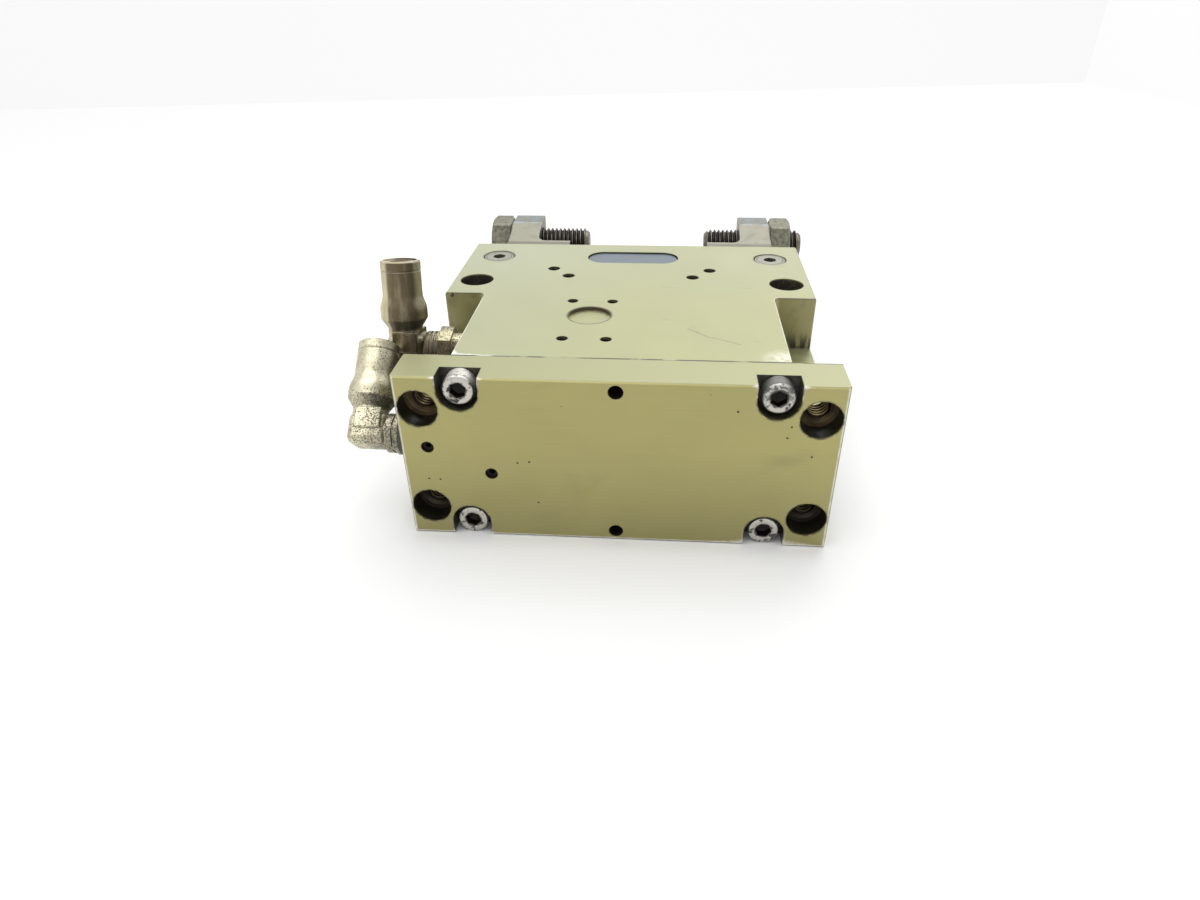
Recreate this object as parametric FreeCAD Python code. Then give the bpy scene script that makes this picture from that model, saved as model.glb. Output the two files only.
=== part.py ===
import FreeCAD, Part
import math
import os

# Angular gripper, in millimetres. The origin is the middle of the rear cover's outer face,
# +Y points along the gripper to the finger tips, +X is across it and +Z is up as it lies.

Vector = FreeCAD.Vector

# Housing block and rear cover
WIDTH = 116.0
THICKNESS = 50.0
COVER_LENGTH = 13.3
NECK_END = 58.5
FRONT_END = 108.2
NECK_WIDTH = 90.2
BAND_HALF = 8.3
EDGE_CHAMFER = 0.5
POCKET_CORNER = 2.0

# Cylinder, bulkhead and the two cavities of the lever drive
BORE_RADIUS = 20.0
BORE_END = 46.0
BULKHEAD_END = 54.5
SLOT_BACK = 77.5
ARM_CAVITY_INSET = 13.5
ARM_CAVITY_BACK = 62.0
CAVITY_CORNER = 4.0
BLOCK_ROOM = 1.0

# Clearances
RUNNING_FIT = 0.05
STATIC_FIT = 0.03
CAM_FIT = 0.15
SEAT_GAP = 0.05

# Cover screws with their open notches
COVER_SCREW_INSET = (4.2, 4.25)
COVER_SCREW_RADIUS = 2.5
COVER_HEAD_RADIUS = 4.25
COVER_HEAD_LENGTH = 5.0
COVER_HEAD_SINK = 1.0
COVER_SOCKET_FLATS = 4.0
COVER_SOCKET_DEPTH = 2.6
COVER_SCREW_GRIP = 12.0
DRILL_RELIEF = 2.0
NOTCH_RADIUS = 5.5
SCREW_CLEARANCE_RADIUS = 2.75

# Rear mounting holes, locating holes and direct air holes
MOUNT_INSET = (6.1, 9.4)
MOUNT_SINK_RADIUS = 5.4
MOUNT_SINK_DEPTH = 6.5
MOUNT_THREAD_RADIUS = 3.4
MOUNT_CHAMFER = 0.9
DOWEL_INSET = 3.0
DOWEL_RADIUS = 2.0
DOWEL_DEPTH = 8.0
REAR_AIR_INSET = 7.3
REAR_AIR_Z = 3.9
FRONT_AIR_OUTSET = 13.9
FRONT_AIR_Z = -4.0
AIR_HOLE_RADIUS = 1.75
AIR_HOLE_END = 44.0
PLUG_SINK = 1.2
PLUG_LENGTH = 3.5
PLUG_SOCKET_FLATS = 1.6
PLUG_SOCKET_DEPTH = 1.4

# Holes in the upper and lower faces
SIDE_BOLT_INSET = 7.8
SIDE_BOLT_Y = 70.3
SIDE_SINK_DEPTH = 7.0
SIDE_SLEEVE_DEPTH = 2.5
TAP_RADIUS = 2.05
OUTER_TAP = (26.2, 82.1)
INNER_TAP = (20.45, 75.4)
FRONT_TAP_DEPTH = 7.0
SENSOR_X = -10.45
SENSOR_Y = 39.4
SENSOR_SPACING_X = 12.25
SENSOR_SPACING_Y = 27.8
SENSOR_TAP_RADIUS = 1.65
SENSOR_TAP_DEPTH = 4.0
RECESS_Y = 42.3
RECESS_RADIUS = 6.4
RECESS_DEPTH = 1.1

# Badge
BADGE_Y = 94.3
BADGE_RECESS_LENGTH = 31.5
BADGE_RECESS_WIDTH = 11.7
BADGE_RECESS_DEPTH = 1.0
BADGE_RIM = 0.4
BADGE_THICKNESS = 0.5

# Spring and piston
SPRING_WIRE_RADIUS = 1.6
SPRING_TURNS = 5
SPRING_ROOM = 0.8
SPRING_END_GAP = 0.3
SPRING_SEAT = 6.0
STROKE = 6.0
PISTON_GAP = 0.3
PISTON_SKIRT = 3.1
PISTON_FRONT = 45.5
PISTON_LENGTH = 16.0
PISTON_WALL = 6.0
SEAL_GROOVE = (41.3, 44.0)
SEAL_DEPTH = 2.4
GUIDE_GROOVE = (32.0, 36.0)
GUIDE_DEPTH = 1.2
COVER_SEAL_OUTSET = 2.6
COVER_SEAL_WIRE = 0.75

# Rod and drive block
ROD_RADIUS = 8.0
ROD_SEAL_RADIUS = 11.0
ROD_SEAL_LENGTH = 3.0
BUSH_WALL = 2.0
PISTON_SCREW_RADIUS = 4.0
PISTON_SCREW_GRIP = 22.0
PISTON_HEAD_RADIUS = 6.5
PISTON_HEAD_LENGTH = 8.0
PISTON_SOCKET_FLATS = 6.0
PISTON_SOCKET_DEPTH = 4.0
BLOCK_BACK = 62.0
BLOCK_SHOULDER = 76.0
BLOCK_FRONT = 89.0
BLOCK_BACK_INSET = 22.0
BLOCK_FRONT_INSET = 27.0
BLOCK_HALF = 7.0
BLOCK_CORNER = 2.0

# Finger pivots and lever arms
PIVOT_INSET = 10.65
PIVOT_Y = 94.25
PIVOT_RADIUS = 5.45
PIVOT_FLOOR = 2.7
PIVOT_TOP_SINK = 0.15
PIVOT_SOCKET_FLATS = 4.0
PIVOT_SOCKET_DEPTH = 3.0
PIVOT_RIM = 0.4
BUSH_RADIUS = 7.0
BUSH_LENGTH = 12.0
WASHER_RADIUS = 9.0
WASHER_THICKNESS = 0.8
OPEN_ANGLE = math.radians(15.0)
DRIVE_IN = 18.0
DRIVE_BACK = 24.0
DRIVE_PIN_RADIUS = 4.0
DRIVE_PIN_SINK = 0.4
HUB_RADIUS = 10.0
ARM_RADIUS = 6.8
FORK_GAP = 0.4
FORK_ROOT = 15.5
LEVER_HALF = 15.0

# Finger posts
TIP_Y = 166.5
TIP_HALF = 19.0
TIP_RISE_START = 142.0
TIP_RISE_END = 156.0
TIP_BEVEL = 1.0
POST_HALF = 6.0
BASE_OUT = 6.2
BASE_IN = 19.35
BASE_FRONT = 143.0
BASE_BACK = 118.0
BASE_TAPER_END = 147.3
BASE_FILLET = 3.0
WEB_IN = 8.0

# Grip screws and jam nuts
GRIP_Y = 158.0
GRIP_Z = 9.75
GRIP_RADIUS = 6.0
GRIP_CORE_RADIUS = 5.1
GRIP_LENGTH = 40.0
GRIP_CHAMFER = 1.1
GRIP_SOCKET_FLATS = 6.0
GRIP_SOCKET_DEPTH = 6.0
LEFT_GRIP_REACH = 19.95
RIGHT_GRIP_REACH = 14.15
NUT_FLATS = 19.0
NUT_LENGTH = 8.8
NUT_FACE = 0.6
NUT_TILT = math.radians(5.0)

# Push-in elbow fittings for a 6 mm tube
REAR_PORT_Y = 6.65
REAR_PORT_Z = 3.9
REAR_ELBOW_REACH = 11.2
REAR_HEX = (10.5, 1.6)
REAR_RING = (1.8, 0)
REAR_LEAN = math.radians(47.0)
FRONT_PORT_Y = 34.5
FRONT_PORT_Z = 16.4
FRONT_ELBOW_REACH = 19.4
FRONT_HEX_REACH = 4.8
FRONT_HEX = (12.0, 3.8)
FRONT_RING = (3.8, 2)
FRONT_LEAN = math.radians(12.0)
PORT_RADIUS = 4.9
PORT_DEPTH = 8.0
PORT_THREAD = 5.2
PORT_DRILL = 2.0
GALLERY_RADIUS = 1.75
GALLERY_ANGLE = math.radians(64.0)
GASKET_RADIUS = 5.9
GASKET_THICKNESS = 1.2
STEM_HEX_TILT = math.radians(12.0)
STEM_NECK_RADIUS = 5.0
SWIVEL_RADIUS = 3.1
SWIVEL_LENGTH = 6.0
SWIVEL_GAP = 0.3
ELBOW_STUB_RADIUS = 4.2
ELBOW_RING_RADIUS = 5.45
ELBOW_GROOVE_DEPTH = 0.55
ELBOW_GROOVE_WIDTH = 0.6
ELBOW_GROOVE_PITCH = 1.3
KNUCKLE_END = -4.7
KNUCKLE_HALF = 4.7
KNUCKLE_HEIGHT = (-4.1, 4.9)
KNUCKLE_FILLET = 2.2
ELBOW_PAD = ((-2.6, 4.8), (-5.3, 5.3), (0.0, 6.0))
ELBOW_PAD_FILLET = 0.5
ELBOW_AIR_RADIUS = 2.0
SLEEVE_NECK_RADIUS = 4.9
SLEEVE_FOOT = 6.6
SLEEVE_BULGE_START = 9.4
SLEEVE_BULGE_END = 11.8
SLEEVE_TAPER_END = 16.4
SLEEVE_TAPER_STEPS = 8
SLEEVE_SEAM = 23.0
SLEEVE_SEAM_DEPTH = 0.25
SLEEVE_SEAM_WIDTH = 0.4
SLEEVE_MOUTH = 26.0
SLEEVE_RIM = 0.4
SLEEVE_BULGE_RADIUS = 6.75
SLEEVE_RADIUS = 5.7
TUBE_RADIUS = 3.05
TUBE_STOP = 12.0
TUBE_SEAL_START = 16.5
TUBE_SEAL_LENGTH = 1.8
TUBE_SEAL_WIRE = 0.62
TUBE_PASS_RADIUS = 3.2
COLLET_RADIUS = 4.75
COLLET_START = 20.6
COLLET_END = 25.5
COLLET_TRAVEL = 1.1

# Places and sizes that follow from the ones above
TOP = THICKNESS / 2
PIVOT_X = WIDTH / 2 - PIVOT_INSET
COVER_SCREW_X = NECK_WIDTH / 2 - COVER_SCREW_INSET[0]
COVER_SCREW_Z = TOP - COVER_SCREW_INSET[1]
MOUNT_X = WIDTH / 2 - MOUNT_INSET[0]
MOUNT_Z = TOP - MOUNT_INSET[1]
DOWEL_Z = TOP - DOWEL_INSET
SIDE_BOLT_X = WIDTH / 2 - SIDE_BOLT_INSET
REAR_AIR_X = REAR_AIR_INSET - WIDTH / 2
FRONT_AIR_X = -BORE_RADIUS - FRONT_AIR_OUTSET
ARM_CAVITY_HALF = WIDTH / 2 - ARM_CAVITY_INSET
SLOT_HALF = LEVER_HALF + WASHER_THICKNESS + 2 * SEAT_GAP
BLOCK_BACK_HALF = WIDTH / 2 - BLOCK_BACK_INSET
BLOCK_FRONT_HALF = WIDTH / 2 - BLOCK_FRONT_INSET
FORK_HALF = BLOCK_HALF + FORK_GAP
DRIVE_PIN_HALF = LEVER_HALF - DRIVE_PIN_SINK
PISTON_RADIUS = BORE_RADIUS - PISTON_GAP
SPRING_RADIUS = PISTON_RADIUS - PISTON_SKIRT - SPRING_ROOM - SPRING_WIRE_RADIUS
COVER_SEAL_RADIUS = BORE_RADIUS + COVER_SEAL_OUTSET

X_AXIS = Vector(1, 0, 0)
Y_AXIS = Vector(0, 1, 0)
Z_AXIS = Vector(0, 0, 1)
CENTRE = Vector(0, 0, 0)
SIDES = (-1, 1)


def save(node, *solids):
    """Write one node's solids to its STEP file."""
    shape = solids[0] if len(solids) == 1 else Part.makeCompound(list(solids))
    shape.exportStep("parts/%s.step" % node)


def block(x_range, y_range, z_range):
    """A box between two limits on each axis."""
    corner = Vector(x_range[0], y_range[0], z_range[0])
    sizes = [high - low for low, high in (x_range, y_range, z_range)]
    return Part.makeBox(sizes[0], sizes[1], sizes[2], corner)


def rod(radius, start, end):
    """A round bar from one point to another."""
    run = end - start
    return Part.makeCylinder(radius, run.Length, start, run)


def tube(outer, inner, start, end):
    """A round bar with a hole through it."""
    return rod(outer, start, end).cut(rod(inner, start, end))


def hexagon(flats, start, end, turn=0.0):
    """A hexagonal bar, with a flat towards the first cross axis when it isn't turned."""
    run = end - start
    side = Z_AXIS if abs(run.z) < 0.9 * run.Length else X_AXIS
    other = run.cross(side).normalize()
    radius = flats / math.sqrt(3)
    corners = []
    for step in range(7):
        angle = turn + math.pi * (2 * step + 1) / 6
        corners.append(start + side * (radius * math.cos(angle)) + other * (radius * math.sin(angle)))
    return Part.Face(Part.makePolygon(corners)).extrude(run)


def slab(outline, half):
    """A plan outline made into a plate that lies evenly about the middle plane."""
    corners = [Vector(x, y, -half) for x, y in outline]
    face = Part.Face(Part.makePolygon(corners + corners[:1]))
    return face.extrude(Vector(0, 0, 2 * half))


def upright_edges(solid, places):
    """The edges along Z that stand at the given plan places."""
    found = []
    for edge in solid.Edges:
        low, high = edge.Vertexes[0].Point, edge.Vertexes[-1].Point
        if abs(low.x - high.x) > 0.01 or abs(low.y - high.y) > 0.01:
            continue
        if any(abs(low.x - x) < 0.05 and abs(low.y - y) < 0.05 for x, y in places):
            found.append(edge)
    return found


def mirrored(shape):
    """The same shape on the other side of the gripper."""
    return shape.mirror(CENTRE, X_AXIS)


def stadium(length, width, x, y, z_low, z_high):
    """A plate with two round ends, along X."""
    reach = (length - width) / 2
    height = Vector(0, 0, z_high - z_low)
    middle = block((x - reach, x + reach), (y - width / 2, y + width / 2), (z_low, z_high))
    ends = [Part.makeCylinder(width / 2, height.z, Vector(x + side * reach, y, z_low)) for side in SIDES]
    return middle.multiFuse(ends).removeSplitter()


def cam_point(angle):
    """Where the left drive pin stands in the drive block when the finger is open by an angle."""
    x = -PIVOT_X + DRIVE_IN * math.cos(angle) + DRIVE_BACK * math.sin(angle)
    y = PIVOT_Y + DRIVE_IN * math.sin(angle) - DRIVE_BACK * math.cos(angle)
    return Vector(x, y + STROKE * angle / OPEN_ANGLE, 0)


def cam_slot():
    """The curved slot that turns the block's travel into an even swing of the left finger."""
    path = [cam_point(OPEN_ANGLE * share) for share in (0, 0.5, 1)]
    curve = Part.Arc(path[0], path[1], path[2]).toShape().Curve
    half = DRIVE_PIN_RADIUS + CAM_FIT
    walls = []
    for shift in (-half, half):
        share = (curve.Radius + shift) / curve.Radius
        walls.append([curve.Center + (point - curve.Center) * share for point in path])
    caps = []
    for end, neighbour in ((0, 1), (2, 1)):
        outward = curve.Center - path[end]
        tangent = outward.cross(Z_AXIS).normalize()
        if tangent.dot(path[neighbour] - path[end]) > 0:
            tangent = tangent * -1
        caps.append(path[end] + tangent * half)
    inner, outer = walls
    edges = [
        Part.Arc(inner[0], inner[1], inner[2]).toShape(),
        Part.Arc(inner[2], caps[1], outer[2]).toShape(),
        Part.Arc(outer[2], outer[1], outer[0]).toShape(),
        Part.Arc(outer[0], caps[0], inner[0]).toShape(),
    ]
    face = Part.Face(Part.Wire(edges))
    face.translate(Vector(0, 0, -BLOCK_HALF - 1))
    return face.extrude(Vector(0, 0, 2 * BLOCK_HALF + 2))


def port_hole(face_x, y, z):
    """The threaded port of a fitting, open to the left."""
    return rod(PORT_RADIUS, Vector(face_x - 1, y, z), Vector(face_x + PORT_DEPTH, y, z))


def housing_cavities():
    """The cylinder, the rod's way through the bulkhead and the room of the lever drive."""
    across = (-ARM_CAVITY_HALF, ARM_CAVITY_HALF)
    arm_room = block(across, (ARM_CAVITY_BACK, FRONT_END), (-SLOT_HALF, SLOT_HALF))
    corners = [(side * ARM_CAVITY_HALF, ARM_CAVITY_BACK) for side in SIDES]
    arm_room = arm_room.makeFillet(CAVITY_CORNER, upright_edges(arm_room, corners))
    block_half = BLOCK_BACK_HALF + BLOCK_ROOM
    block_height = BLOCK_HALF + BLOCK_ROOM
    return [
        rod(BORE_RADIUS, Vector(0, COVER_LENGTH, 0), Vector(0, BORE_END, 0)),
        rod(ROD_SEAL_RADIUS, Vector(0, BORE_END, 0), Vector(0, BORE_END + ROD_SEAL_LENGTH, 0)),
        rod(ROD_RADIUS + BUSH_WALL + STATIC_FIT, Vector(0, BORE_END, 0), Vector(0, BULKHEAD_END, 0)),
        block((-block_half, block_half), (BULKHEAD_END, ARM_CAVITY_BACK), (-block_height, block_height)),
        arm_room,
        block((-WIDTH, WIDTH), (SLOT_BACK, FRONT_END + 1), (-SLOT_HALF, SLOT_HALF)),
    ]


def housing_face_holes():
    """The holes and recesses of the upper and lower faces."""
    cuts = []
    for side in SIDES:
        bolt = Vector(side * SIDE_BOLT_X, SIDE_BOLT_Y, -TOP)
        cuts.append(rod(MOUNT_THREAD_RADIUS, bolt, bolt + Z_AXIS * THICKNESS))
        cuts.append(rod(MOUNT_SINK_RADIUS, bolt, bolt + Z_AXIS * SIDE_SLEEVE_DEPTH))
        upper = bolt + Z_AXIS * THICKNESS
        cuts.append(rod(MOUNT_SINK_RADIUS, upper - Z_AXIS * SIDE_SINK_DEPTH, upper))
        for x, y in (OUTER_TAP, INNER_TAP):
            mouth = Vector(side * x, y, TOP)
            cuts.append(rod(TAP_RADIUS, mouth - Z_AXIS * FRONT_TAP_DEPTH, mouth))
        for end in SIDES:
            mouth = Vector(SENSOR_X + side * SENSOR_SPACING_X / 2, SENSOR_Y + end * SENSOR_SPACING_Y / 2, TOP)
            cuts.append(rod(SENSOR_TAP_RADIUS, mouth - Z_AXIS * SENSOR_TAP_DEPTH, mouth))
        pin = Vector(side * PIVOT_X, PIVOT_Y, PIVOT_FLOOR - TOP)
        cuts.append(rod(PIVOT_RADIUS + STATIC_FIT, pin, Vector(pin.x, pin.y, TOP)))
    recess = Vector(SENSOR_X, RECESS_Y, TOP)
    cuts.append(rod(RECESS_RADIUS, recess - Z_AXIS * RECESS_DEPTH, recess))
    badge_floor = TOP - BADGE_RECESS_DEPTH
    cuts.append(stadium(BADGE_RECESS_LENGTH, BADGE_RECESS_WIDTH, 0, BADGE_Y, badge_floor, TOP + 1))
    return cuts


def housing_air_ways():
    """The front port with its slanted drilling, and the direct hole's way to the same end of the bore."""
    port = Vector(-NECK_WIDTH / 2, FRONT_PORT_Y, FRONT_PORT_Z)
    port_end = port + X_AXIS * (PORT_DEPTH - 1)
    reach = BORE_RADIUS - GALLERY_RADIUS
    across, up = reach * math.cos(GALLERY_ANGLE), reach * math.sin(GALLERY_ANGLE)
    bore_front = Vector(-across, BORE_END - GALLERY_RADIUS, up)
    direct = Vector(FRONT_AIR_X, COVER_LENGTH, FRONT_AIR_Z)
    direct_end = Vector(FRONT_AIR_X, AIR_HOLE_END, FRONT_AIR_Z)
    return [
        port_hole(port.x, port.y, port.z),
        rod(GALLERY_RADIUS, port_end, bore_front),
        rod(AIR_HOLE_RADIUS, direct, direct_end),
        rod(AIR_HOLE_RADIUS, direct_end, Vector(GALLERY_RADIUS - BORE_RADIUS, AIR_HOLE_END, FRONT_AIR_Z)),
    ]


def make_housing():
    """The milled block: a narrow neck with four side pockets, and a wide head with the lever slot."""
    body = block((-WIDTH / 2, WIDTH / 2), (COVER_LENGTH, FRONT_END), (-TOP, TOP))
    front_edges = [edge for edge in body.Edges if abs(edge.CenterOfMass.y - FRONT_END) < 0.01]
    long_edges = [edge for edge in body.Edges if abs(abs(edge.CenterOfMass.x) - WIDTH / 2) < 0.01]
    long_edges = [edge for edge in long_edges if abs(abs(edge.CenterOfMass.z) - TOP) < 0.01]
    body = body.makeChamfer(EDGE_CHAMFER, front_edges + long_edges)
    cuts = []
    for side in SIDES:
        across = sorted((side * NECK_WIDTH / 2, side * WIDTH))
        for level in SIDES:
            high = sorted((level * BAND_HALF, level * THICKNESS))
            pocket = block(across, (COVER_LENGTH - 1, NECK_END), high)
            inner = upright_edges(pocket, [(side * NECK_WIDTH / 2, NECK_END)])
            cuts.append(pocket.makeFillet(POCKET_CORNER, inner))
            hole = Vector(side * COVER_SCREW_X, COVER_LENGTH, level * COVER_SCREW_Z)
            depth = Y_AXIS * (COVER_SCREW_GRIP + DRILL_RELIEF)
            cuts.append(rod(COVER_SCREW_RADIUS + STATIC_FIT, hole, hole + depth))
    body = body.cut(cuts)
    body = body.cut(housing_cavities())
    body = body.cut(housing_face_holes())
    body = body.cut(housing_air_ways())
    save("housing", body.removeSplitter())


def make_cover():
    """The rear cover plate with its notches, mounting holes, spring seat and rear port."""
    plate = block((-WIDTH / 2, WIDTH / 2), (0, COVER_LENGTH), (-TOP, TOP))
    rear_edges = [edge for edge in plate.Edges if abs(edge.CenterOfMass.y) < 0.01]
    plate = plate.makeChamfer(EDGE_CHAMFER, rear_edges)
    notch_floor = COVER_HEAD_SINK + COVER_HEAD_LENGTH
    cuts = []
    for side in SIDES:
        for level in SIDES:
            screw = Vector(side * COVER_SCREW_X, 0, level * COVER_SCREW_Z)
            cuts.append(rod(NOTCH_RADIUS, screw, screw + Y_AXIS * notch_floor))
            beside = (screw.x - NOTCH_RADIUS, screw.x + NOTCH_RADIUS)
            cuts.append(block(beside, (0, notch_floor), sorted((screw.z, level * THICKNESS))))
            cuts.append(rod(SCREW_CLEARANCE_RADIUS, screw, screw + Y_AXIS * COVER_LENGTH))
            mount = Vector(side * MOUNT_X, 0, level * MOUNT_Z)
            cuts.append(rod(MOUNT_SINK_RADIUS, mount, mount + Y_AXIS * MOUNT_SINK_DEPTH))
            cuts.append(rod(MOUNT_THREAD_RADIUS, mount, mount + Y_AXIS * COVER_LENGTH))
            sink_floor = mount + Y_AXIS * MOUNT_SINK_DEPTH
            mouth = MOUNT_THREAD_RADIUS + MOUNT_CHAMFER
            cuts.append(Part.makeCone(mouth, MOUNT_THREAD_RADIUS, MOUNT_CHAMFER, sink_floor, Y_AXIS))
    for level in SIDES:
        dowel = Vector(0, 0, level * DOWEL_Z)
        cuts.append(rod(DOWEL_RADIUS, dowel, dowel + Y_AXIS * DOWEL_DEPTH))
    front_air = Vector(FRONT_AIR_X, 0, FRONT_AIR_Z)
    rear_air = Vector(REAR_AIR_X, 0, REAR_AIR_Z)
    cuts.append(rod(AIR_HOLE_RADIUS, front_air, front_air + Y_AXIS * COVER_LENGTH))
    cuts.append(rod(AIR_HOLE_RADIUS, rear_air, rear_air + Y_AXIS * REAR_PORT_Y))
    cuts.append(port_hole(-WIDTH / 2, REAR_PORT_Y, REAR_PORT_Z))
    drill_start = Vector(-WIDTH / 2, REAR_PORT_Y, REAR_PORT_Z)
    cuts.append(rod(PORT_DRILL, drill_start, Vector(-SPRING_RADIUS, REAR_PORT_Y, REAR_PORT_Z)))
    seat_radius = SPRING_RADIUS + SPRING_WIRE_RADIUS + SPRING_ROOM
    cuts.append(rod(seat_radius, Vector(0, SPRING_SEAT, 0), Vector(0, COVER_LENGTH, 0)))
    plate = plate.cut(cuts)
    groove_room = COVER_SEAL_WIRE + SEAT_GAP
    groove = tube(COVER_SEAL_RADIUS + groove_room, COVER_SEAL_RADIUS - groove_room,
                  Vector(0, COVER_LENGTH - 2 * groove_room, 0), Vector(0, COVER_LENGTH, 0))
    save("rear_cover", plate.cut(groove).removeSplitter())
    ring_place = Vector(0, COVER_LENGTH - groove_room, 0)
    save("cover_seal", Part.makeTorus(COVER_SEAL_RADIUS, COVER_SEAL_WIRE, ring_place, Y_AXIS))


def socket_screw(radius, head_radius, head_length, grip, flats, depth, head):
    """A socket screw whose head's outer face is at a point, driven along +Y."""
    seat = head + Y_AXIS * head_length
    screw = rod(head_radius, head, seat).fuse(rod(radius, seat, seat + Y_AXIS * grip))
    return screw.cut(hexagon(flats, head, head + Y_AXIS * depth)).removeSplitter()


def make_cover_screws():
    """The four socket screws that hold the cover."""
    grip = COVER_LENGTH - COVER_HEAD_SINK - COVER_HEAD_LENGTH + COVER_SCREW_GRIP
    screws = []
    for side in SIDES:
        for level in SIDES:
            head = Vector(side * COVER_SCREW_X, COVER_HEAD_SINK, level * COVER_SCREW_Z)
            screws.append(socket_screw(COVER_SCREW_RADIUS, COVER_HEAD_RADIUS, COVER_HEAD_LENGTH, grip,
                                       COVER_SOCKET_FLATS, COVER_SOCKET_DEPTH, head))
    save("cover_screws", *screws)


def make_port_plugs():
    """The set screws that close the two direct air holes."""
    plugs = []
    for x, z in ((REAR_AIR_X, REAR_AIR_Z), (FRONT_AIR_X, FRONT_AIR_Z)):
        mouth = Vector(x, PLUG_SINK, z)
        plug = rod(AIR_HOLE_RADIUS - STATIC_FIT, mouth, mouth + Y_AXIS * PLUG_LENGTH)
        plugs.append(plug.cut(hexagon(PLUG_SOCKET_FLATS, mouth, mouth + Y_AXIS * PLUG_SOCKET_DEPTH)))
    save("port_plugs", *plugs)


def make_badge():
    """The thin badge that lies in the stadium recess."""
    floor = TOP - BADGE_RECESS_DEPTH
    length = BADGE_RECESS_LENGTH - 2 * BADGE_RIM
    width = BADGE_RECESS_WIDTH - 2 * BADGE_RIM
    save("badge", stadium(length, width, 0, BADGE_Y, floor, floor + BADGE_THICKNESS))


def make_spring():
    """The closing spring, from the cover's seat to the piston's pocket."""
    start = SPRING_SEAT + SPRING_WIRE_RADIUS + SPRING_END_GAP
    end = PISTON_FRONT - PISTON_WALL - SPRING_WIRE_RADIUS - SPRING_END_GAP
    pitch = (end - start) / SPRING_TURNS
    path = Part.makeHelix(pitch, end - start, SPRING_RADIUS)
    section = Part.Wire(Part.makeCircle(SPRING_WIRE_RADIUS, Vector(SPRING_RADIUS, 0, 0), Y_AXIS))
    coil = Part.Wire(path.Edges).makePipeShell([section], True, True)
    coil.rotate(CENTRE, X_AXIS, -90)
    coil.translate(Vector(0, start, 0))
    save("closing_spring", coil)


def make_piston():
    """The cup-shaped piston with its seal, guide ring and central screw."""
    front = Vector(0, PISTON_FRONT, 0)
    rear = front - Y_AXIS * PISTON_LENGTH
    floor = front - Y_AXIS * PISTON_WALL
    body = rod(PISTON_RADIUS, rear, front)
    pocket = rod(SPRING_RADIUS + SPRING_WIRE_RADIUS + SPRING_ROOM, rear, floor)
    hole = rod(PISTON_SCREW_RADIUS + STATIC_FIT, rear, front)
    rings = []
    for groove, depth in ((SEAL_GROOVE, SEAL_DEPTH), (GUIDE_GROOVE, GUIDE_DEPTH)):
        low, high = (Vector(0, place, 0) for place in groove)
        rings.append(tube(BORE_RADIUS, PISTON_RADIUS - depth, low, high))
    save("piston", body.cut([pocket, hole] + rings))
    for node, groove, depth in (("piston_seal", SEAL_GROOVE, SEAL_DEPTH),
                                ("piston_guide_ring", GUIDE_GROOVE, GUIDE_DEPTH)):
        low = Vector(0, groove[0] + SEAT_GAP, 0)
        high = Vector(0, groove[1] - SEAT_GAP, 0)
        save(node, tube(BORE_RADIUS - RUNNING_FIT, PISTON_RADIUS - depth + STATIC_FIT, low, high))
    head = floor - Y_AXIS * PISTON_HEAD_LENGTH
    save("piston_screw", socket_screw(PISTON_SCREW_RADIUS, PISTON_HEAD_RADIUS, PISTON_HEAD_LENGTH,
                                      PISTON_SCREW_GRIP, PISTON_SOCKET_FLATS, PISTON_SOCKET_DEPTH, head))


def make_rod_guides():
    """The bronze bush and the lip seal that the rod runs in."""
    bush_start = Vector(0, BORE_END + ROD_SEAL_LENGTH, 0)
    inner = ROD_RADIUS + RUNNING_FIT
    save("rod_bush", tube(ROD_RADIUS + BUSH_WALL, inner, bush_start, Vector(0, BULKHEAD_END, 0)))
    low = Vector(0, BORE_END + SEAT_GAP, 0)
    high = bush_start - Y_AXIS * SEAT_GAP
    save("rod_seal", tube(ROD_SEAL_RADIUS - STATIC_FIT, inner, low, high))


def make_drive_block():
    """The rod with its drive block, whose two cam slots swing the fingers."""
    right = [(BLOCK_BACK_HALF, BLOCK_BACK)]
    right += [(BLOCK_BACK_HALF, BLOCK_SHOULDER), (BLOCK_FRONT_HALF, BLOCK_FRONT)]
    outline = right + [(-x, y) for x, y in reversed(right)]
    plate = slab(outline, BLOCK_HALF)
    plate = plate.makeFillet(BLOCK_CORNER, upright_edges(plate, outline))
    shaft = rod(ROD_RADIUS, Vector(0, PISTON_FRONT, 0), Vector(0, BLOCK_BACK + ROD_RADIUS, 0))
    thread_end = PISTON_FRONT - PISTON_WALL + PISTON_SCREW_GRIP + DRILL_RELIEF
    thread = rod(PISTON_SCREW_RADIUS + STATIC_FIT, Vector(0, PISTON_FRONT, 0), Vector(0, thread_end, 0))
    slot = cam_slot()
    drive = plate.fuse(shaft).cut([thread, slot, mirrored(slot)])
    save("drive_block", drive.removeSplitter())


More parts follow.
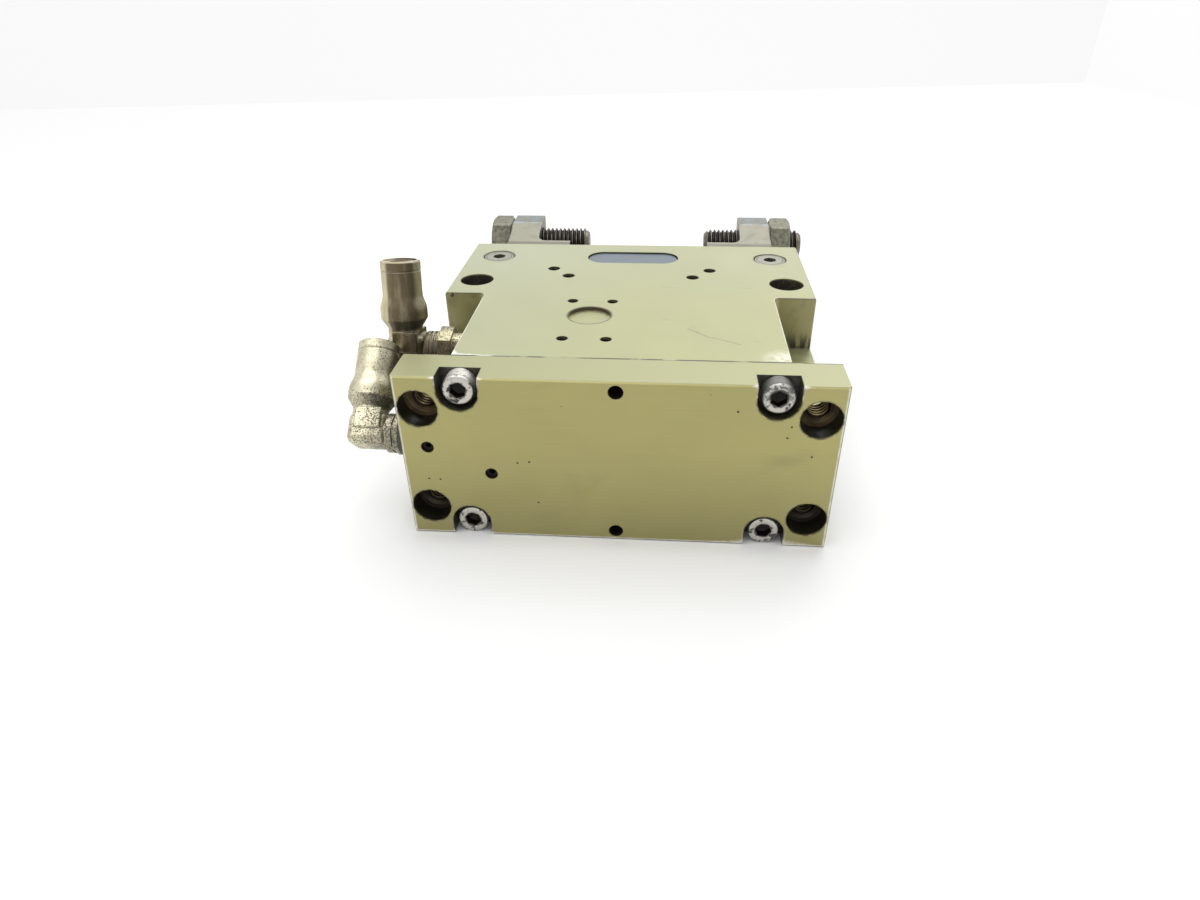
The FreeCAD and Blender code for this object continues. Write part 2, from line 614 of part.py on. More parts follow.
def finger_plan():
    """The left finger seen from above: hub, rear arm, broad base and slim post, at full height."""
    hub = Vector(-PIVOT_X, PIVOT_Y, 0)
    outer = [(-POST_HALF, TIP_Y), (-POST_HALF, BASE_TAPER_END)]
    outer += [(-BASE_OUT, TIP_RISE_START), (-BASE_OUT, PIVOT_Y)]
    inner = [(WEB_IN, PIVOT_Y), (BASE_IN, BASE_BACK), (BASE_IN, BASE_FRONT), (POST_HALF, BASE_FRONT)]
    points = outer + inner + [(POST_HALF, TIP_Y)]
    lever = slab([(u - PIVOT_X, y) for u, y in points], TIP_HALF)
    corner = [(POST_HALF - PIVOT_X, BASE_FRONT), (BASE_IN - PIVOT_X, BASE_BACK)]
    lever = lever.makeFillet(BASE_FILLET, upright_edges(lever, corner))
    drive = Vector(DRIVE_IN, -DRIVE_BACK, 0)
    along = Vector(drive).normalize()
    across = along.cross(Z_AXIS) * ARM_RADIUS
    sides = [hub - across, hub - across + drive, hub + across + drive, hub + across]
    arm = slab([(point.x, point.y) for point in sides], TIP_HALF)
    low = Z_AXIS * TIP_HALF
    rounds = [rod(HUB_RADIUS, hub - low, hub + low), rod(ARM_RADIUS, hub + drive - low, hub + drive + low)]
    return lever.multiFuse([arm] + rounds).removeSplitter()


def finger_side():
    """The finger's side profile: level lever, rising flanks and a thick tip with a small bevel."""
    rear = PIVOT_Y - DRIVE_BACK - HUB_RADIUS
    upper = [(rear, LEVER_HALF), (TIP_RISE_START, LEVER_HALF), (TIP_RISE_END, TIP_HALF),
             (TIP_Y - TIP_BEVEL, TIP_HALF), (TIP_Y, TIP_HALF - TIP_BEVEL)]
    loop = upper + [(y, -z) for y, z in reversed(upper)]
    corners = [Vector(-WIDTH, y, z) for y, z in loop]
    return Part.Face(Part.makePolygon(corners + corners[:1])).extrude(Vector(2 * WIDTH, 0, 0))


def left_finger():
    """The left finger with its fork, bearing bore, drive pin hole and grip screw holes."""
    hub = Vector(-PIVOT_X, PIVOT_Y, 0)
    drive = hub + Vector(DRIVE_IN, -DRIVE_BACK, 0)
    low = Z_AXIS * TIP_HALF
    root = rod(FORK_ROOT, hub - low, hub + low)
    behind = (drive.y - 2 * ARM_RADIUS, PIVOT_Y)
    gap = block((-WIDTH, 0), behind, (-FORK_HALF, FORK_HALF)).cut(root)
    upper = Vector(-WIDTH, GRIP_Y, GRIP_Z)
    lower = Vector(-WIDTH, GRIP_Y, -GRIP_Z)
    cuts = [
        gap,
        rod(BUSH_RADIUS + STATIC_FIT, hub - low, hub + low),
        rod(DRIVE_PIN_RADIUS + STATIC_FIT, drive - low, drive + low),
        rod(GRIP_RADIUS + STATIC_FIT, upper, upper + X_AXIS * WIDTH),
        rod(GRIP_CORE_RADIUS, lower, lower + X_AXIS * WIDTH),
    ]
    return finger_plan().common(finger_side()).cut(cuts).removeSplitter()


def pivot_pin():
    """The left pivot pin, pushed in from above and flush with the upper face."""
    foot = Vector(-PIVOT_X, PIVOT_Y, PIVOT_FLOOR + SEAT_GAP - TOP)
    head = Vector(-PIVOT_X, PIVOT_Y, TOP - PIVOT_TOP_SINK)
    pin = rod(PIVOT_RADIUS, foot, head)
    rim = [edge for edge in pin.Edges if abs(edge.CenterOfMass.z - head.z) < 0.01]
    pin = pin.makeChamfer(PIVOT_RIM, rim)
    return pin.cut(hexagon(PIVOT_SOCKET_FLATS, head - Z_AXIS * PIVOT_SOCKET_DEPTH, head))


def lever_rings(outer, inner, low, high):
    """A pair of rings about the left pivot, above and below the middle plane."""
    hub = Vector(-PIVOT_X, PIVOT_Y, 0)
    rings = [tube(outer, inner, hub + Z_AXIS * low, hub + Z_AXIS * high)]
    rings.append(tube(outer, inner, hub - Z_AXIS * high, hub - Z_AXIS * low))
    return rings


def grip_screw(reach):
    """A grip screw on the right side, with its tip inward and its socket outward."""
    inner = Vector(PIVOT_X - POST_HALF - reach, GRIP_Y, GRIP_Z)
    outer = inner + X_AXIS * GRIP_LENGTH
    bar = rod(GRIP_RADIUS, inner, outer)
    ends = [edge for edge in bar.Edges if edge.Closed]
    bar = bar.makeChamfer(GRIP_CHAMFER, ends)
    return bar.cut(hexagon(GRIP_SOCKET_FLATS, outer - X_AXIS * GRIP_SOCKET_DEPTH, outer))


def jam_nut():
    """The right jam nut, against the outer face of its post."""
    face = Vector(PIVOT_X + POST_HALF, GRIP_Y, GRIP_Z)
    inner = face + X_AXIS * NUT_FACE
    outer = face + X_AXIS * NUT_LENGTH
    body = hexagon(NUT_FLATS, inner, outer, NUT_TILT)
    corner = NUT_FLATS / math.sqrt(3)
    slope = math.tan(math.radians(30))
    chamfer = (corner - NUT_FLATS / 2) * slope
    thick = NUT_LENGTH - NUT_FACE
    profile = [Vector(0, 0, 0), Vector(0, NUT_FLATS / 2, 0), Vector(chamfer, corner, 0)]
    profile += [Vector(thick - point.x, point.y, 0) for point in reversed(profile)]
    turned = Part.Face(Part.makePolygon(profile + profile[:1])).revolve(CENTRE, X_AXIS, 360)
    turned.translate(inner)
    washer_face = rod(NUT_FLATS / 2 - NUT_FACE, face, inner)
    nut = body.common(turned).fuse(washer_face)
    return nut.cut(rod(GRIP_RADIUS + STATIC_FIT, face, outer)).removeSplitter()


def make_fingers():
    """Both fingers with their bushes, drive pins, pivot pins, grip screws and jam nuts."""
    finger = left_finger()
    pin = pivot_pin()
    bushes = lever_rings(BUSH_RADIUS, PIVOT_RADIUS + RUNNING_FIT, LEVER_HALF - BUSH_LENGTH, LEVER_HALF)
    washer_low, washer_high = LEVER_HALF + SEAT_GAP, SLOT_HALF - SEAT_GAP
    washers = lever_rings(WASHER_RADIUS, PIVOT_RADIUS + RUNNING_FIT, washer_low, washer_high)
    drive = Vector(DRIVE_IN - PIVOT_X, PIVOT_Y - DRIVE_BACK, 0)
    reach = Z_AXIS * DRIVE_PIN_HALF
    drive_pin = rod(DRIVE_PIN_RADIUS, drive - reach, drive + reach)
    nut = jam_nut()
    save("left_finger", finger)
    save("right_finger", mirrored(finger))
    save("left_pivot_pin", pin)
    save("right_pivot_pin", mirrored(pin))
    save("left_pivot_bushes", *bushes)
    save("right_pivot_bushes", *[mirrored(ring) for ring in bushes])
    save("thrust_washers", *(washers + [mirrored(ring) for ring in washers]))
    save("left_drive_pin", drive_pin)
    save("right_drive_pin", mirrored(drive_pin))
    save("left_grip_screw", mirrored(grip_screw(LEFT_GRIP_REACH)))
    save("right_grip_screw", grip_screw(RIGHT_GRIP_REACH))
    save("left_jam_nut", mirrored(nut))
    save("right_jam_nut", nut)


def fitting_stem(face, hex_x, hex_size, elbow_x):
    """The screwed-in stem of a fitting, from its thread to the journal that the elbow turns on."""
    flats, hex_length = hex_size
    hex_front = Vector(hex_x, face.y, face.z)
    hex_back = hex_front - X_AXIS * hex_length
    thread_end = face + X_AXIS * PORT_THREAD
    stem = rod(PORT_RADIUS - STATIC_FIT, face, thread_end)
    neck = rod(STEM_NECK_RADIUS, hex_front, face)
    nut = hexagon(flats, hex_back, hex_front, STEM_HEX_TILT)
    journal = rod(SWIVEL_RADIUS, hex_back - X_AXIS * SWIVEL_LENGTH, hex_back)
    stem = stem.multiFuse([neck, nut, journal])
    air_start = Vector(elbow_x, face.y, face.z)
    return stem.cut(rod(ELBOW_AIR_RADIUS, air_start, thread_end)).removeSplitter()


def sleeve_profile():
    """Half of the tube sleeve's outer section, as places along its axis and radii."""
    groove = SLEEVE_RADIUS - SLEEVE_SEAM_DEPTH
    seam_end = SLEEVE_SEAM + SLEEVE_SEAM_WIDTH
    taper = []
    for step in range(SLEEVE_TAPER_STEPS + 1):
        share = step / SLEEVE_TAPER_STEPS
        place = SLEEVE_BULGE_END + share * (SLEEVE_TAPER_END - SLEEVE_BULGE_END)
        fall = (1 - math.cos(math.pi * share)) / 2
        taper.append((place, SLEEVE_BULGE_RADIUS - fall * (SLEEVE_BULGE_RADIUS - SLEEVE_RADIUS)))
    return [
        (0, SLEEVE_NECK_RADIUS),
        (SLEEVE_FOOT, SLEEVE_NECK_RADIUS),
        (SLEEVE_BULGE_START, SLEEVE_BULGE_RADIUS),
        *taper,
        (SLEEVE_SEAM, SLEEVE_RADIUS),
        (SLEEVE_SEAM, groove),
        (seam_end, groove),
        (seam_end, SLEEVE_RADIUS),
        (SLEEVE_MOUTH - SLEEVE_RIM, SLEEVE_RADIUS),
        (SLEEVE_MOUTH, SLEEVE_RADIUS - SLEEVE_RIM),
    ]


def fitting_elbow(stub_end, ring_length, groove_count):
    """An elbow with its tube sleeve upright, its knuckle at the origin and its stub along +X."""
    profile = sleeve_profile()
    corners = [Vector(0, 0, 0)] + [Vector(radius, 0, place) for place, radius in profile]
    corners.append(Vector(0, 0, SLEEVE_MOUTH))
    sleeve = Part.Face(Part.makePolygon(corners + corners[:1])).revolve(CENTRE, Z_AXIS, 360)
    ring_start = stub_end - ring_length
    knuckle = block((KNUCKLE_END, ring_start), (-KNUCKLE_HALF, KNUCKLE_HALF), KNUCKLE_HEIGHT)
    knuckle = knuckle.makeFillet(KNUCKLE_FILLET, knuckle.Edges)
    pad = block(*ELBOW_PAD)
    pad = pad.makeFillet(ELBOW_PAD_FILLET, pad.Edges)
    ring = rod(ELBOW_RING_RADIUS, X_AXIS * ring_start, X_AXIS * stub_end)
    for step in range(1, groove_count + 1):
        start = X_AXIS * (stub_end - step * ELBOW_GROOVE_PITCH)
        root = ELBOW_RING_RADIUS - ELBOW_GROOVE_DEPTH
        ring = ring.cut(tube(ELBOW_RING_RADIUS + 1, root, start, start + X_AXIS * ELBOW_GROOVE_WIDTH))
    pieces = [knuckle, pad, ring, rod(ELBOW_STUB_RADIUS, CENTRE, X_AXIS * stub_end)]
    seal_end = TUBE_SEAL_START + TUBE_SEAL_LENGTH
    journal_end = stub_end - SWIVEL_LENGTH
    collet_floor = COLLET_START - COLLET_TRAVEL - SEAT_GAP
    cuts = [
        rod(ELBOW_AIR_RADIUS, CENTRE, Z_AXIS * TUBE_STOP),
        rod(TUBE_RADIUS, Z_AXIS * TUBE_STOP, Z_AXIS * SLEEVE_MOUTH),
        rod(TUBE_RADIUS + 2 * TUBE_SEAL_WIRE, Z_AXIS * TUBE_SEAL_START, Z_AXIS * seal_end),
        rod(TUBE_PASS_RADIUS, Z_AXIS * seal_end, Z_AXIS * SLEEVE_MOUTH),
        rod(COLLET_RADIUS + RUNNING_FIT, Z_AXIS * collet_floor, Z_AXIS * SLEEVE_MOUTH),
        rod(ELBOW_AIR_RADIUS, CENTRE, X_AXIS * stub_end),
        rod(SWIVEL_RADIUS + RUNNING_FIT, X_AXIS * journal_end, X_AXIS * stub_end),
    ]
    return sleeve.multiFuse(pieces).removeSplitter().cut(cuts)


def make_fitting(name, face, hex_reach, hex_size, elbow_reach, ring, lean):
    """One fitting: gasket, stem, swivelling elbow, tube seal and release collet."""
    hex_x = face.x - hex_reach
    elbow_x = face.x - elbow_reach
    stub_end = hex_x - hex_size[1] - SWIVEL_GAP - elbow_x
    gasket = tube(GASKET_RADIUS, STEM_NECK_RADIUS + STATIC_FIT, face - X_AXIS * GASKET_THICKNESS, face)
    save(name + "_gasket", gasket)
    save(name + "_stem", fitting_stem(face, hex_x, hex_size, elbow_x))
    seal_middle = Z_AXIS * (TUBE_SEAL_START + TUBE_SEAL_LENGTH / 2)
    seal = Part.makeTorus(TUBE_RADIUS + TUBE_SEAL_WIRE, TUBE_SEAL_WIRE - STATIC_FIT, seal_middle, Z_AXIS)
    collet = tube(COLLET_RADIUS, TUBE_PASS_RADIUS, Z_AXIS * COLLET_START, Z_AXIS * COLLET_END)
    elbow = fitting_elbow(stub_end, *ring)
    for node, shape in (("elbow", elbow), ("tube_seal", seal), ("collet", collet)):
        shape.rotate(CENTRE, X_AXIS, -math.degrees(lean))
        shape.translate(Vector(elbow_x, face.y, face.z))
        save("%s_%s" % (name, node), shape)


def main():
    """Build every node of the gripper."""
    os.makedirs("parts", exist_ok=True)
    make_housing()
    make_cover()
    make_cover_screws()
    make_port_plugs()
    make_badge()
    make_spring()
    make_piston()
    make_rod_guides()
    make_drive_block()
    make_fingers()
    rear_port = Vector(-WIDTH / 2, REAR_PORT_Y, REAR_PORT_Z)
    front_port = Vector(-NECK_WIDTH / 2, FRONT_PORT_Y, FRONT_PORT_Z)
    make_fitting("rear", rear_port, GASKET_THICKNESS, REAR_HEX, REAR_ELBOW_REACH, REAR_RING, REAR_LEAN)
    make_fitting("front", front_port, FRONT_HEX_REACH, FRONT_HEX, FRONT_ELBOW_REACH, FRONT_RING, FRONT_LEAN)


main()
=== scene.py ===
"""Looks of a pneumatic angular gripper: finishes, threads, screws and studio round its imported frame."""

import logging
import math
from dataclasses import dataclass, replace
from enum import Enum
from functools import reduce
from typing import Any, Callable, Optional, Sequence, Union

import bmesh
import bpy
from mathutils import Matrix, Vector


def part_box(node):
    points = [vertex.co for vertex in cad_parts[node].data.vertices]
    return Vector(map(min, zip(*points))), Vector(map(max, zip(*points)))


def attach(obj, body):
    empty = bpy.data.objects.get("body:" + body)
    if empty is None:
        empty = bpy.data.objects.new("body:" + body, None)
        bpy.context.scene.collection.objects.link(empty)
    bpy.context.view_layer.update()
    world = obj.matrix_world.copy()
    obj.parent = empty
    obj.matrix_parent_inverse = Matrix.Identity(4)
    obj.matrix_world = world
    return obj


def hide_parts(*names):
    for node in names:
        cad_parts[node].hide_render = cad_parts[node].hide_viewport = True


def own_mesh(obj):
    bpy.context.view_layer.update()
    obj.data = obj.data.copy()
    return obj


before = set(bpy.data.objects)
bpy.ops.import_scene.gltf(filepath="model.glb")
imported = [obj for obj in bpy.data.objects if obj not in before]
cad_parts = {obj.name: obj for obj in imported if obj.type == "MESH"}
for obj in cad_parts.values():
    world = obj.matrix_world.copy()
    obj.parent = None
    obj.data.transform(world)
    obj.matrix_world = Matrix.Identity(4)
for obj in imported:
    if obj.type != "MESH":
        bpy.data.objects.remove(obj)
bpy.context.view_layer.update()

Colour = tuple[float, float, float, float]
Point = tuple[float, float, float]
Spot = tuple[float, float]
Value = Union["Wire", float, Colour, Point]
Sockets = dict[Union[int, str], Value]
Outline = list[Union[bmesh.types.BMVert, bmesh.types.BMEdge]]

LOG = logging.getLogger("gripper")
MM = 0.001

# Places that several classes share, in millimetres. Those of one spot are mirrored to the other sides.
TOP = 25.0
SEAM = 13.3
SCREWS: Spot = (40.9, 20.75)
SINKS: Spot = (51.9, 15.6)
BOLTS: Spot = (50.2, 70.3)
TAPS: tuple[Spot, ...] = ((26.2, 82.1), (20.45, 75.4))
SENSOR_TAPS: tuple[Spot, ...] = tuple((x, y) for y in (25.5, 53.3) for x in (-16.575, -4.325))


class Axis(Enum):
    """The line that a turned or threaded piece lies along."""

    X = 0
    Y = 1
    Z = 2


class Hand(Enum):
    """The two sides of the gripper."""

    LEFT = -1
    RIGHT = 1

    @property
    def word(self) -> str:
        """Give the side as it stands in node and body names."""
        return self.name.lower()


def tone(red: int, green: int, blue: int) -> Colour:
    """Give the linear colour of an 8-bit screen colour.

    Args:
        red: Red level from 0 to 255.
        green: Green level from 0 to 255.
        blue: Blue level from 0 to 255.

    Returns:
        The colour as a shader socket takes it.
    """
    parts = []
    for level in (red, green, blue):
        share = level / 255
        parts.append(share / 12.92 if share <= 0.04045 else ((share + 0.055) / 1.055) ** 2.4)
    return parts[0], parts[1], parts[2], 1.0


BEARING_BRONZE = tone(176, 128, 72)


def about(axis: str, degrees: float) -> Matrix:
    """Give a turn about an axis."""
    return Matrix.Rotation(math.radians(degrees), 4, axis)


def middle(node: str) -> Point:
    """Give the middle of a CAD node's box.

    Args:
        node: Name of the CAD node.

    Returns:
        Its middle in millimetres.
    """
    low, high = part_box(node)
    centre = (low + high) / 2 / MM
    return centre.x, centre.y, centre.z


def operator(operation: str, reflected: bool = False) -> Callable[..., "Wire"]:
    """Make a method of Wire that adds a Math node.

    Args:
        operation: Operation of the node.
        reflected: Whether the wire is the second term.

    Returns:
        The method.
    """

    def method(self: "Wire", *others: Value) -> "Wire":
        """Add the Math node for this wire and the other terms."""
        return self.graph.math(operation, *((*others, self) if reflected else (self, *others)))

    return method


class Wire:
    """An output of a node, with arithmetic that adds Math nodes."""

    __add__ = __radd__ = operator("ADD")
    __sub__, __rsub__ = operator("SUBTRACT"), operator("SUBTRACT", reflected=True)
    __mul__ = __rmul__ = operator("MULTIPLY")
    __truediv__, __rtruediv__ = operator("DIVIDE"), operator("DIVIDE", reflected=True)
    __pow__ = operator("POWER")
    __abs__ = operator("ABSOLUTE")
    least = operator("MINIMUM")
    most = operator("MAXIMUM")
    above = operator("GREATER_THAN")

    def __init__(self, graph: "Graph", socket: Optional[bpy.types.NodeSocket]) -> None:
        """Hold a socket and the graph it stands in."""
        self.graph = graph
        self.socket = socket

    def output(self, name: str) -> "Wire":
        """Give another output of the same node."""
        return Wire(self.graph, self.socket.node.outputs[name])

    def ease(self, start: Value, end: Value) -> "Wire":
        """Pass smoothly from zero to one between two values.

        Args:
            start: Value that gives zero.
            end: Value that gives one, above or below start.

        Returns:
            The share from zero to one.
        """
        settings = {"interpolation_type": "SMOOTHSTEP"}
        return self.graph.node("MapRange", settings, {0: self, 1: start, 2: end})


class Graph:
    """A node tree that is written as expressions, in millimetres."""

    def __init__(self, tree: bpy.types.NodeTree) -> None:
        """Empty a tree; the place on the piece is added at its first use.

        Args:
            tree: The node tree.
        """
        self.tree = tree
        tree.nodes.clear()
        self.spot: Optional[Wire] = None

    def node(
        self,
        kind: str,
        settings: Optional[dict[str, Any]] = None,
        sockets: Optional[Sockets] = None,
        output: Union[int, str] = 0,
    ) -> Wire:
        """Add a node.

        Args:
            kind: Type name of the node after the word ShaderNode.
            settings: Properties, which are set first.
            sockets: Values or wires by the name or number of their input.
            output: Name or number of the output that is wanted.

        Returns:
            The wire that leaves the node.
        """
        made = self.tree.nodes.new(f"ShaderNode{kind}")
        for name, value in (settings or {}).items():
            setattr(made, name, value)
        for key, value in (sockets or {}).items():
            if isinstance(value, Wire):
                self.tree.links.new(value.socket, made.inputs[key])
            else:
                made.inputs[key].default_value = value
        return Wire(self, made.outputs[output] if len(made.outputs) else None)

    def math(self, operation: str, *terms: Value) -> Wire:
        """Add a Math node for an operation on its terms."""
        return self.node("Math", {"operation": operation}, dict(enumerate(terms)))

    def place(self) -> Wire:
        """Give the place on the piece in millimetres.

        Returns:
            The place as a vector.
        """
        if self.spot is None:
            found = self.node("TexCoord", output="Object")
            sockets = {0: found, "Scale": 1 / MM}
            self.spot = self.node("VectorMath", {"operation": "SCALE"}, sockets)
        return self.spot

    def ways(self) -> tuple[Wire, Wire, Wire]:
        """Give the three coordinates of the place in millimetres."""
        first = self.node("SeparateXYZ", None, {0: self.place()})
        return first, first.output("Y"), first.output("Z")

    def facing(self) -> tuple[Wire, Wire, Wire]:
        """Give the direction that the surface faces, along each axis of the piece.

        Returns:
            The three parts of the direction.
        """
        turned = self.node("TexCoord", output="Normal")
        first = self.node("SeparateXYZ", None, {0: turned})
        return first, first.output("Y"), first.output("Z")

    def spread(self, size: float, stretch: Point) -> Wire:
        """Scale the place so that a pattern has a size.

        Args:
            size: Width of one feature in millimetres.
            stretch: How much longer it is along each axis.

        Returns:
            The scaled place.
        """
        scale = tuple(1 / (size * share) for share in stretch)
        return self.node("Mapping", None, {"Vector": self.place(), "Scale": scale})

    def noise(self, size: float, detail: float = 3.0, stretch: Point = (1.0, 1.0, 1.0)) -> Wire:
        """Add a cloudy pattern.

        Args:
            size: Width of its clouds in millimetres.
            detail: Number of finer layers.
            stretch: How much longer a cloud is along each axis.

        Returns:
            A value round one half.
        """
        sockets = {"Vector": self.spread(size, stretch), "Scale": 1.0, "Detail": detail}
        return self.node("TexNoise", None, sockets)

    def specks(self, size: float, share: float, radius: float) -> Wire:
        """Scatter round specks.

        Args:
            size: Distance between specks in millimetres.
            share: Part of the cells that hold one.
            radius: Largest radius as a part of the distance.

        Returns:
            A mask that is one inside a speck.
        """
        sockets = {"Vector": self.spread(size, (1.0, 1.0, 1.0)), "Scale": 1.0}
        cell = self.node("TexVoronoi", {"feature": "F1"}, sockets, "Distance")
        chance = self.node("SeparateColor", None, {0: cell.output("Color")})
        edge = (chance.output("Green") * 0.7 + 0.3) * radius
        return cell.ease(edge, edge * 0.6) * chance.above(1 - share)

    def corners(self, radius: float) -> Wire:
        """Find the outer and inner corners of a piece.

        Args:
            radius: How far from the corner is felt, in millimetres.

        Returns:
            A value that grows from zero towards a corner.
        """
        soft = self.node("Bevel", {"samples": 8}, {"Radius": radius * MM})
        hard = self.node("NewGeometry", output="Normal")
        settings = {"operation": "DOT_PRODUCT"}
        return 1 - self.node("VectorMath", settings, {0: soft, 1: hard}, "Value")

    def reach(self, first: Wire, second: Wire, *spots: Spot) -> Wire:
        """Give the distance from the nearest of some lines that run along the third axis.

        Args:
            first: One coordinate.
            second: The other coordinate.
            spots: Where the lines stand in those two.

        Returns:
            The distance in millimetres.
        """
        gaps = [self.math("SQRT", (first - x) ** 2.0 + (second - y) ** 2.0) for x, y in spots]
        return reduce(Wire.least, gaps)

    def scratch(self, first: Wire, second: Wire, start: Spot, end: Spot) -> Wire:
        """Give the distance from a short straight scratch.

        Args:
            first: One coordinate.
            second: The other coordinate.
            start: One end of the scratch in those two.
            end: Its other end.

        Returns:
            The distance in millimetres.
        """
        run = end[0] - start[0], end[1] - start[1]
        square = run[0] ** 2 + run[1] ** 2
        along = (first - start[0]) * (run[0] / square) + (second - start[1]) * (run[1] / square)
        along = along.most(0.0).least(1.0)
        across = first - along * run[0] - start[0]
        return self.math("SQRT", across**2.0 + (second - along * run[1] - start[1]) ** 2.0)

    def blend(self, under: Value, over: Value, share: Value) -> Wire:
        """Mix two colours."""
        return self.node("Mix", {"data_type": "RGBA"}, {0: share, 6: under, 7: over}, 2)

    def shade(self, colour: Value, level: Value) -> Wire:
        """Lighten or darken a colour by a level.

        Args:
            colour: The colour.
            level: Its new brightness, where one leaves it as it is.

        Returns:
            The new colour.
        """
        grey = self.node("CombineColor", None, {0: level, 1: level, 2: level})
        settings = {"data_type": "RGBA", "blend_type": "MULTIPLY"}
        return self.node("Mix", settings, {0: 1.0, 6: colour, 7: grey}, 2)


@dataclass
class Skin:
    """What the surface of a finish is made of, as values or wires.

    Attributes:
        graph: The graph of the finish.
        colour: Its colour.
        roughness: Its roughness.
        metallic: How much of a metal it is.
        height: Pattern of its fine relief.
        lift: Height of that relief in millimetres.
    """

    graph: Graph
    colour: Value
    roughness: Value
    metallic: Value
    height: Wire
    lift: float

    def cover(self, mask: Wire, colour: Value, roughness: float, metallic: float) -> None:
        """Lay something over the surface where a mask is one.

        Args:
            mask: Share of the surface that is covered.
            colour: Colour of what lies there.
            roughness: Its roughness.
            metallic: How much of a metal it is.
        """
        self.colour = self.graph.blend(self.colour, colour, mask)
        self.roughness = mask * (roughness - self.roughness) + self.roughness
        self.metallic = mask * (metallic - self.metallic) + self.metallic


@dataclass(frozen=True)
class Finish:
    """An even surface with a faint mottle and fine grain.

    Attributes:
        name: Name of the material.
        colour: Linear colour of the clean surface.
        roughness: Its roughness.
        metallic: How much of a metal it is.
        coat: Weight of the clear film on it.
        coat_roughness: Roughness of that film.
        mottle: Strength of the cloudy change of shade.
        grain: Height of the fine grain in millimetres.
        grain_size: Width of the grain in millimetres.
        soft: Radius of the softened corners in millimetres.
    """

    name: str
    colour: Colour
    roughness: float = 0.4
    metallic: float = 1.0
    coat: float = 0.0
    coat_roughness: float = 0.2
    mottle: float = 0.15
    grain: float = 0.006
    grain_size: float = 0.25
    soft: float = 0.0

    def material(self) -> bpy.types.Material:
        """Give the material of the finish, made at its first use.

        Returns:
            The material.
        """
        found = bpy.data.materials.get(self.name)
        if found is not None:
            return found
        made = bpy.data.materials.new(self.name)
        made.use_nodes = True
        graph = Graph(made.node_tree)
        skin = self.skin(graph)
        self.age(skin)
        bump: Sockets = {"Strength": 1.0, "Distance": skin.lift * MM, "Height": skin.height}
        if self.soft:
            bump["Normal"] = graph.node("Bevel", {"samples": 6}, {"Radius": self.soft * MM})
        sockets: Sockets = {
            "Base Color": skin.colour,
            "Roughness": skin.roughness,
            "Metallic": skin.metallic,
            "Coat Weight": self.coat,
            "Coat Roughness": self.coat_roughness,
            "Normal": graph.node("Bump", None, bump),
        }
        surface = graph.node("BsdfPrincipled", None, sockets)
        graph.node("OutputMaterial", None, {"Surface": surface})
        return made

    def skin(self, graph: Graph) -> Skin:
        """Give the clean surface.

        Args:
            graph: The graph of the finish.

        Returns:
            The surface with its mottle and grain.
        """
        return self.mottled(graph.noise(7.0, 4.0), graph.noise(self.grain_size, 2.0), (0.16, 0.08))

    def mottled(self, cloud: Wire, fine: Wire, shares: Spot) -> Skin:
        """Give a surface that a coarse and a fine pattern make uneven.

        Args:
            cloud: The coarse pattern.
            fine: The fine pattern, which stands for the height too.
            shares: How much each of them changes the roughness.

        Returns:
            The surface.
        """
        level = cloud * self.mottle * 2 + fine * self.mottle + (1 - 1.5 * self.mottle)
        roughness = cloud * shares[0] + fine * shares[1] + (self.roughness - 0.12)
        colour = cloud.graph.shade(self.colour, level)
        return Skin(cloud.graph, colour, roughness, self.metallic, fine, self.grain)

    def age(self, skin: Skin) -> None:
        """Lay wear and dirt on the surface; the plain finish has none."""


@dataclass(frozen=True)
class Turned(Finish):
    """A lathe-turned surface with rings about an axis.

    Attributes:
        axis: The axis that the piece was turned about.
        centre: A point on that axis in millimetres.
        rings: Width of one tool mark in millimetres.
        mirrored: Whether the axis stands on both sides in X and Z.
    """

    axis: Axis = Axis.Z
    centre: Point = (0.0, 0.0, 0.0)
    rings: float = 0.35
    mirrored: bool = False

    def radius(self, graph: Graph) -> Wire:
        """Give the distance from the turning axis.

        Args:
            graph: The graph of the finish.

        Returns:
            The distance in millimetres.
        """
        ways = graph.ways()
        if self.mirrored:
            ways = abs(ways[0]), ways[1], abs(ways[2])
        first, second = [index for index in range(3) if index != self.axis.value]
        return graph.reach(ways[first], ways[second], (self.centre[first], self.centre[second]))

    def skin(self, graph: Graph) -> Skin:
        """Give the surface with its tool marks.

        Args:
            graph: The graph of the finish.

        Returns:
            The clean surface.
        """
        turn = self.radius(graph) + graph.ways()[self.axis.value]
        sockets = {"W": turn / self.rings, "Scale": 1.0, "Detail": 2.0}
        mark = graph.node("TexNoise", {"noise_dimensions": "1D"}, sockets)
        return self.mottled(graph.noise(5.0, 4.0), mark, (0.12, 0.12))


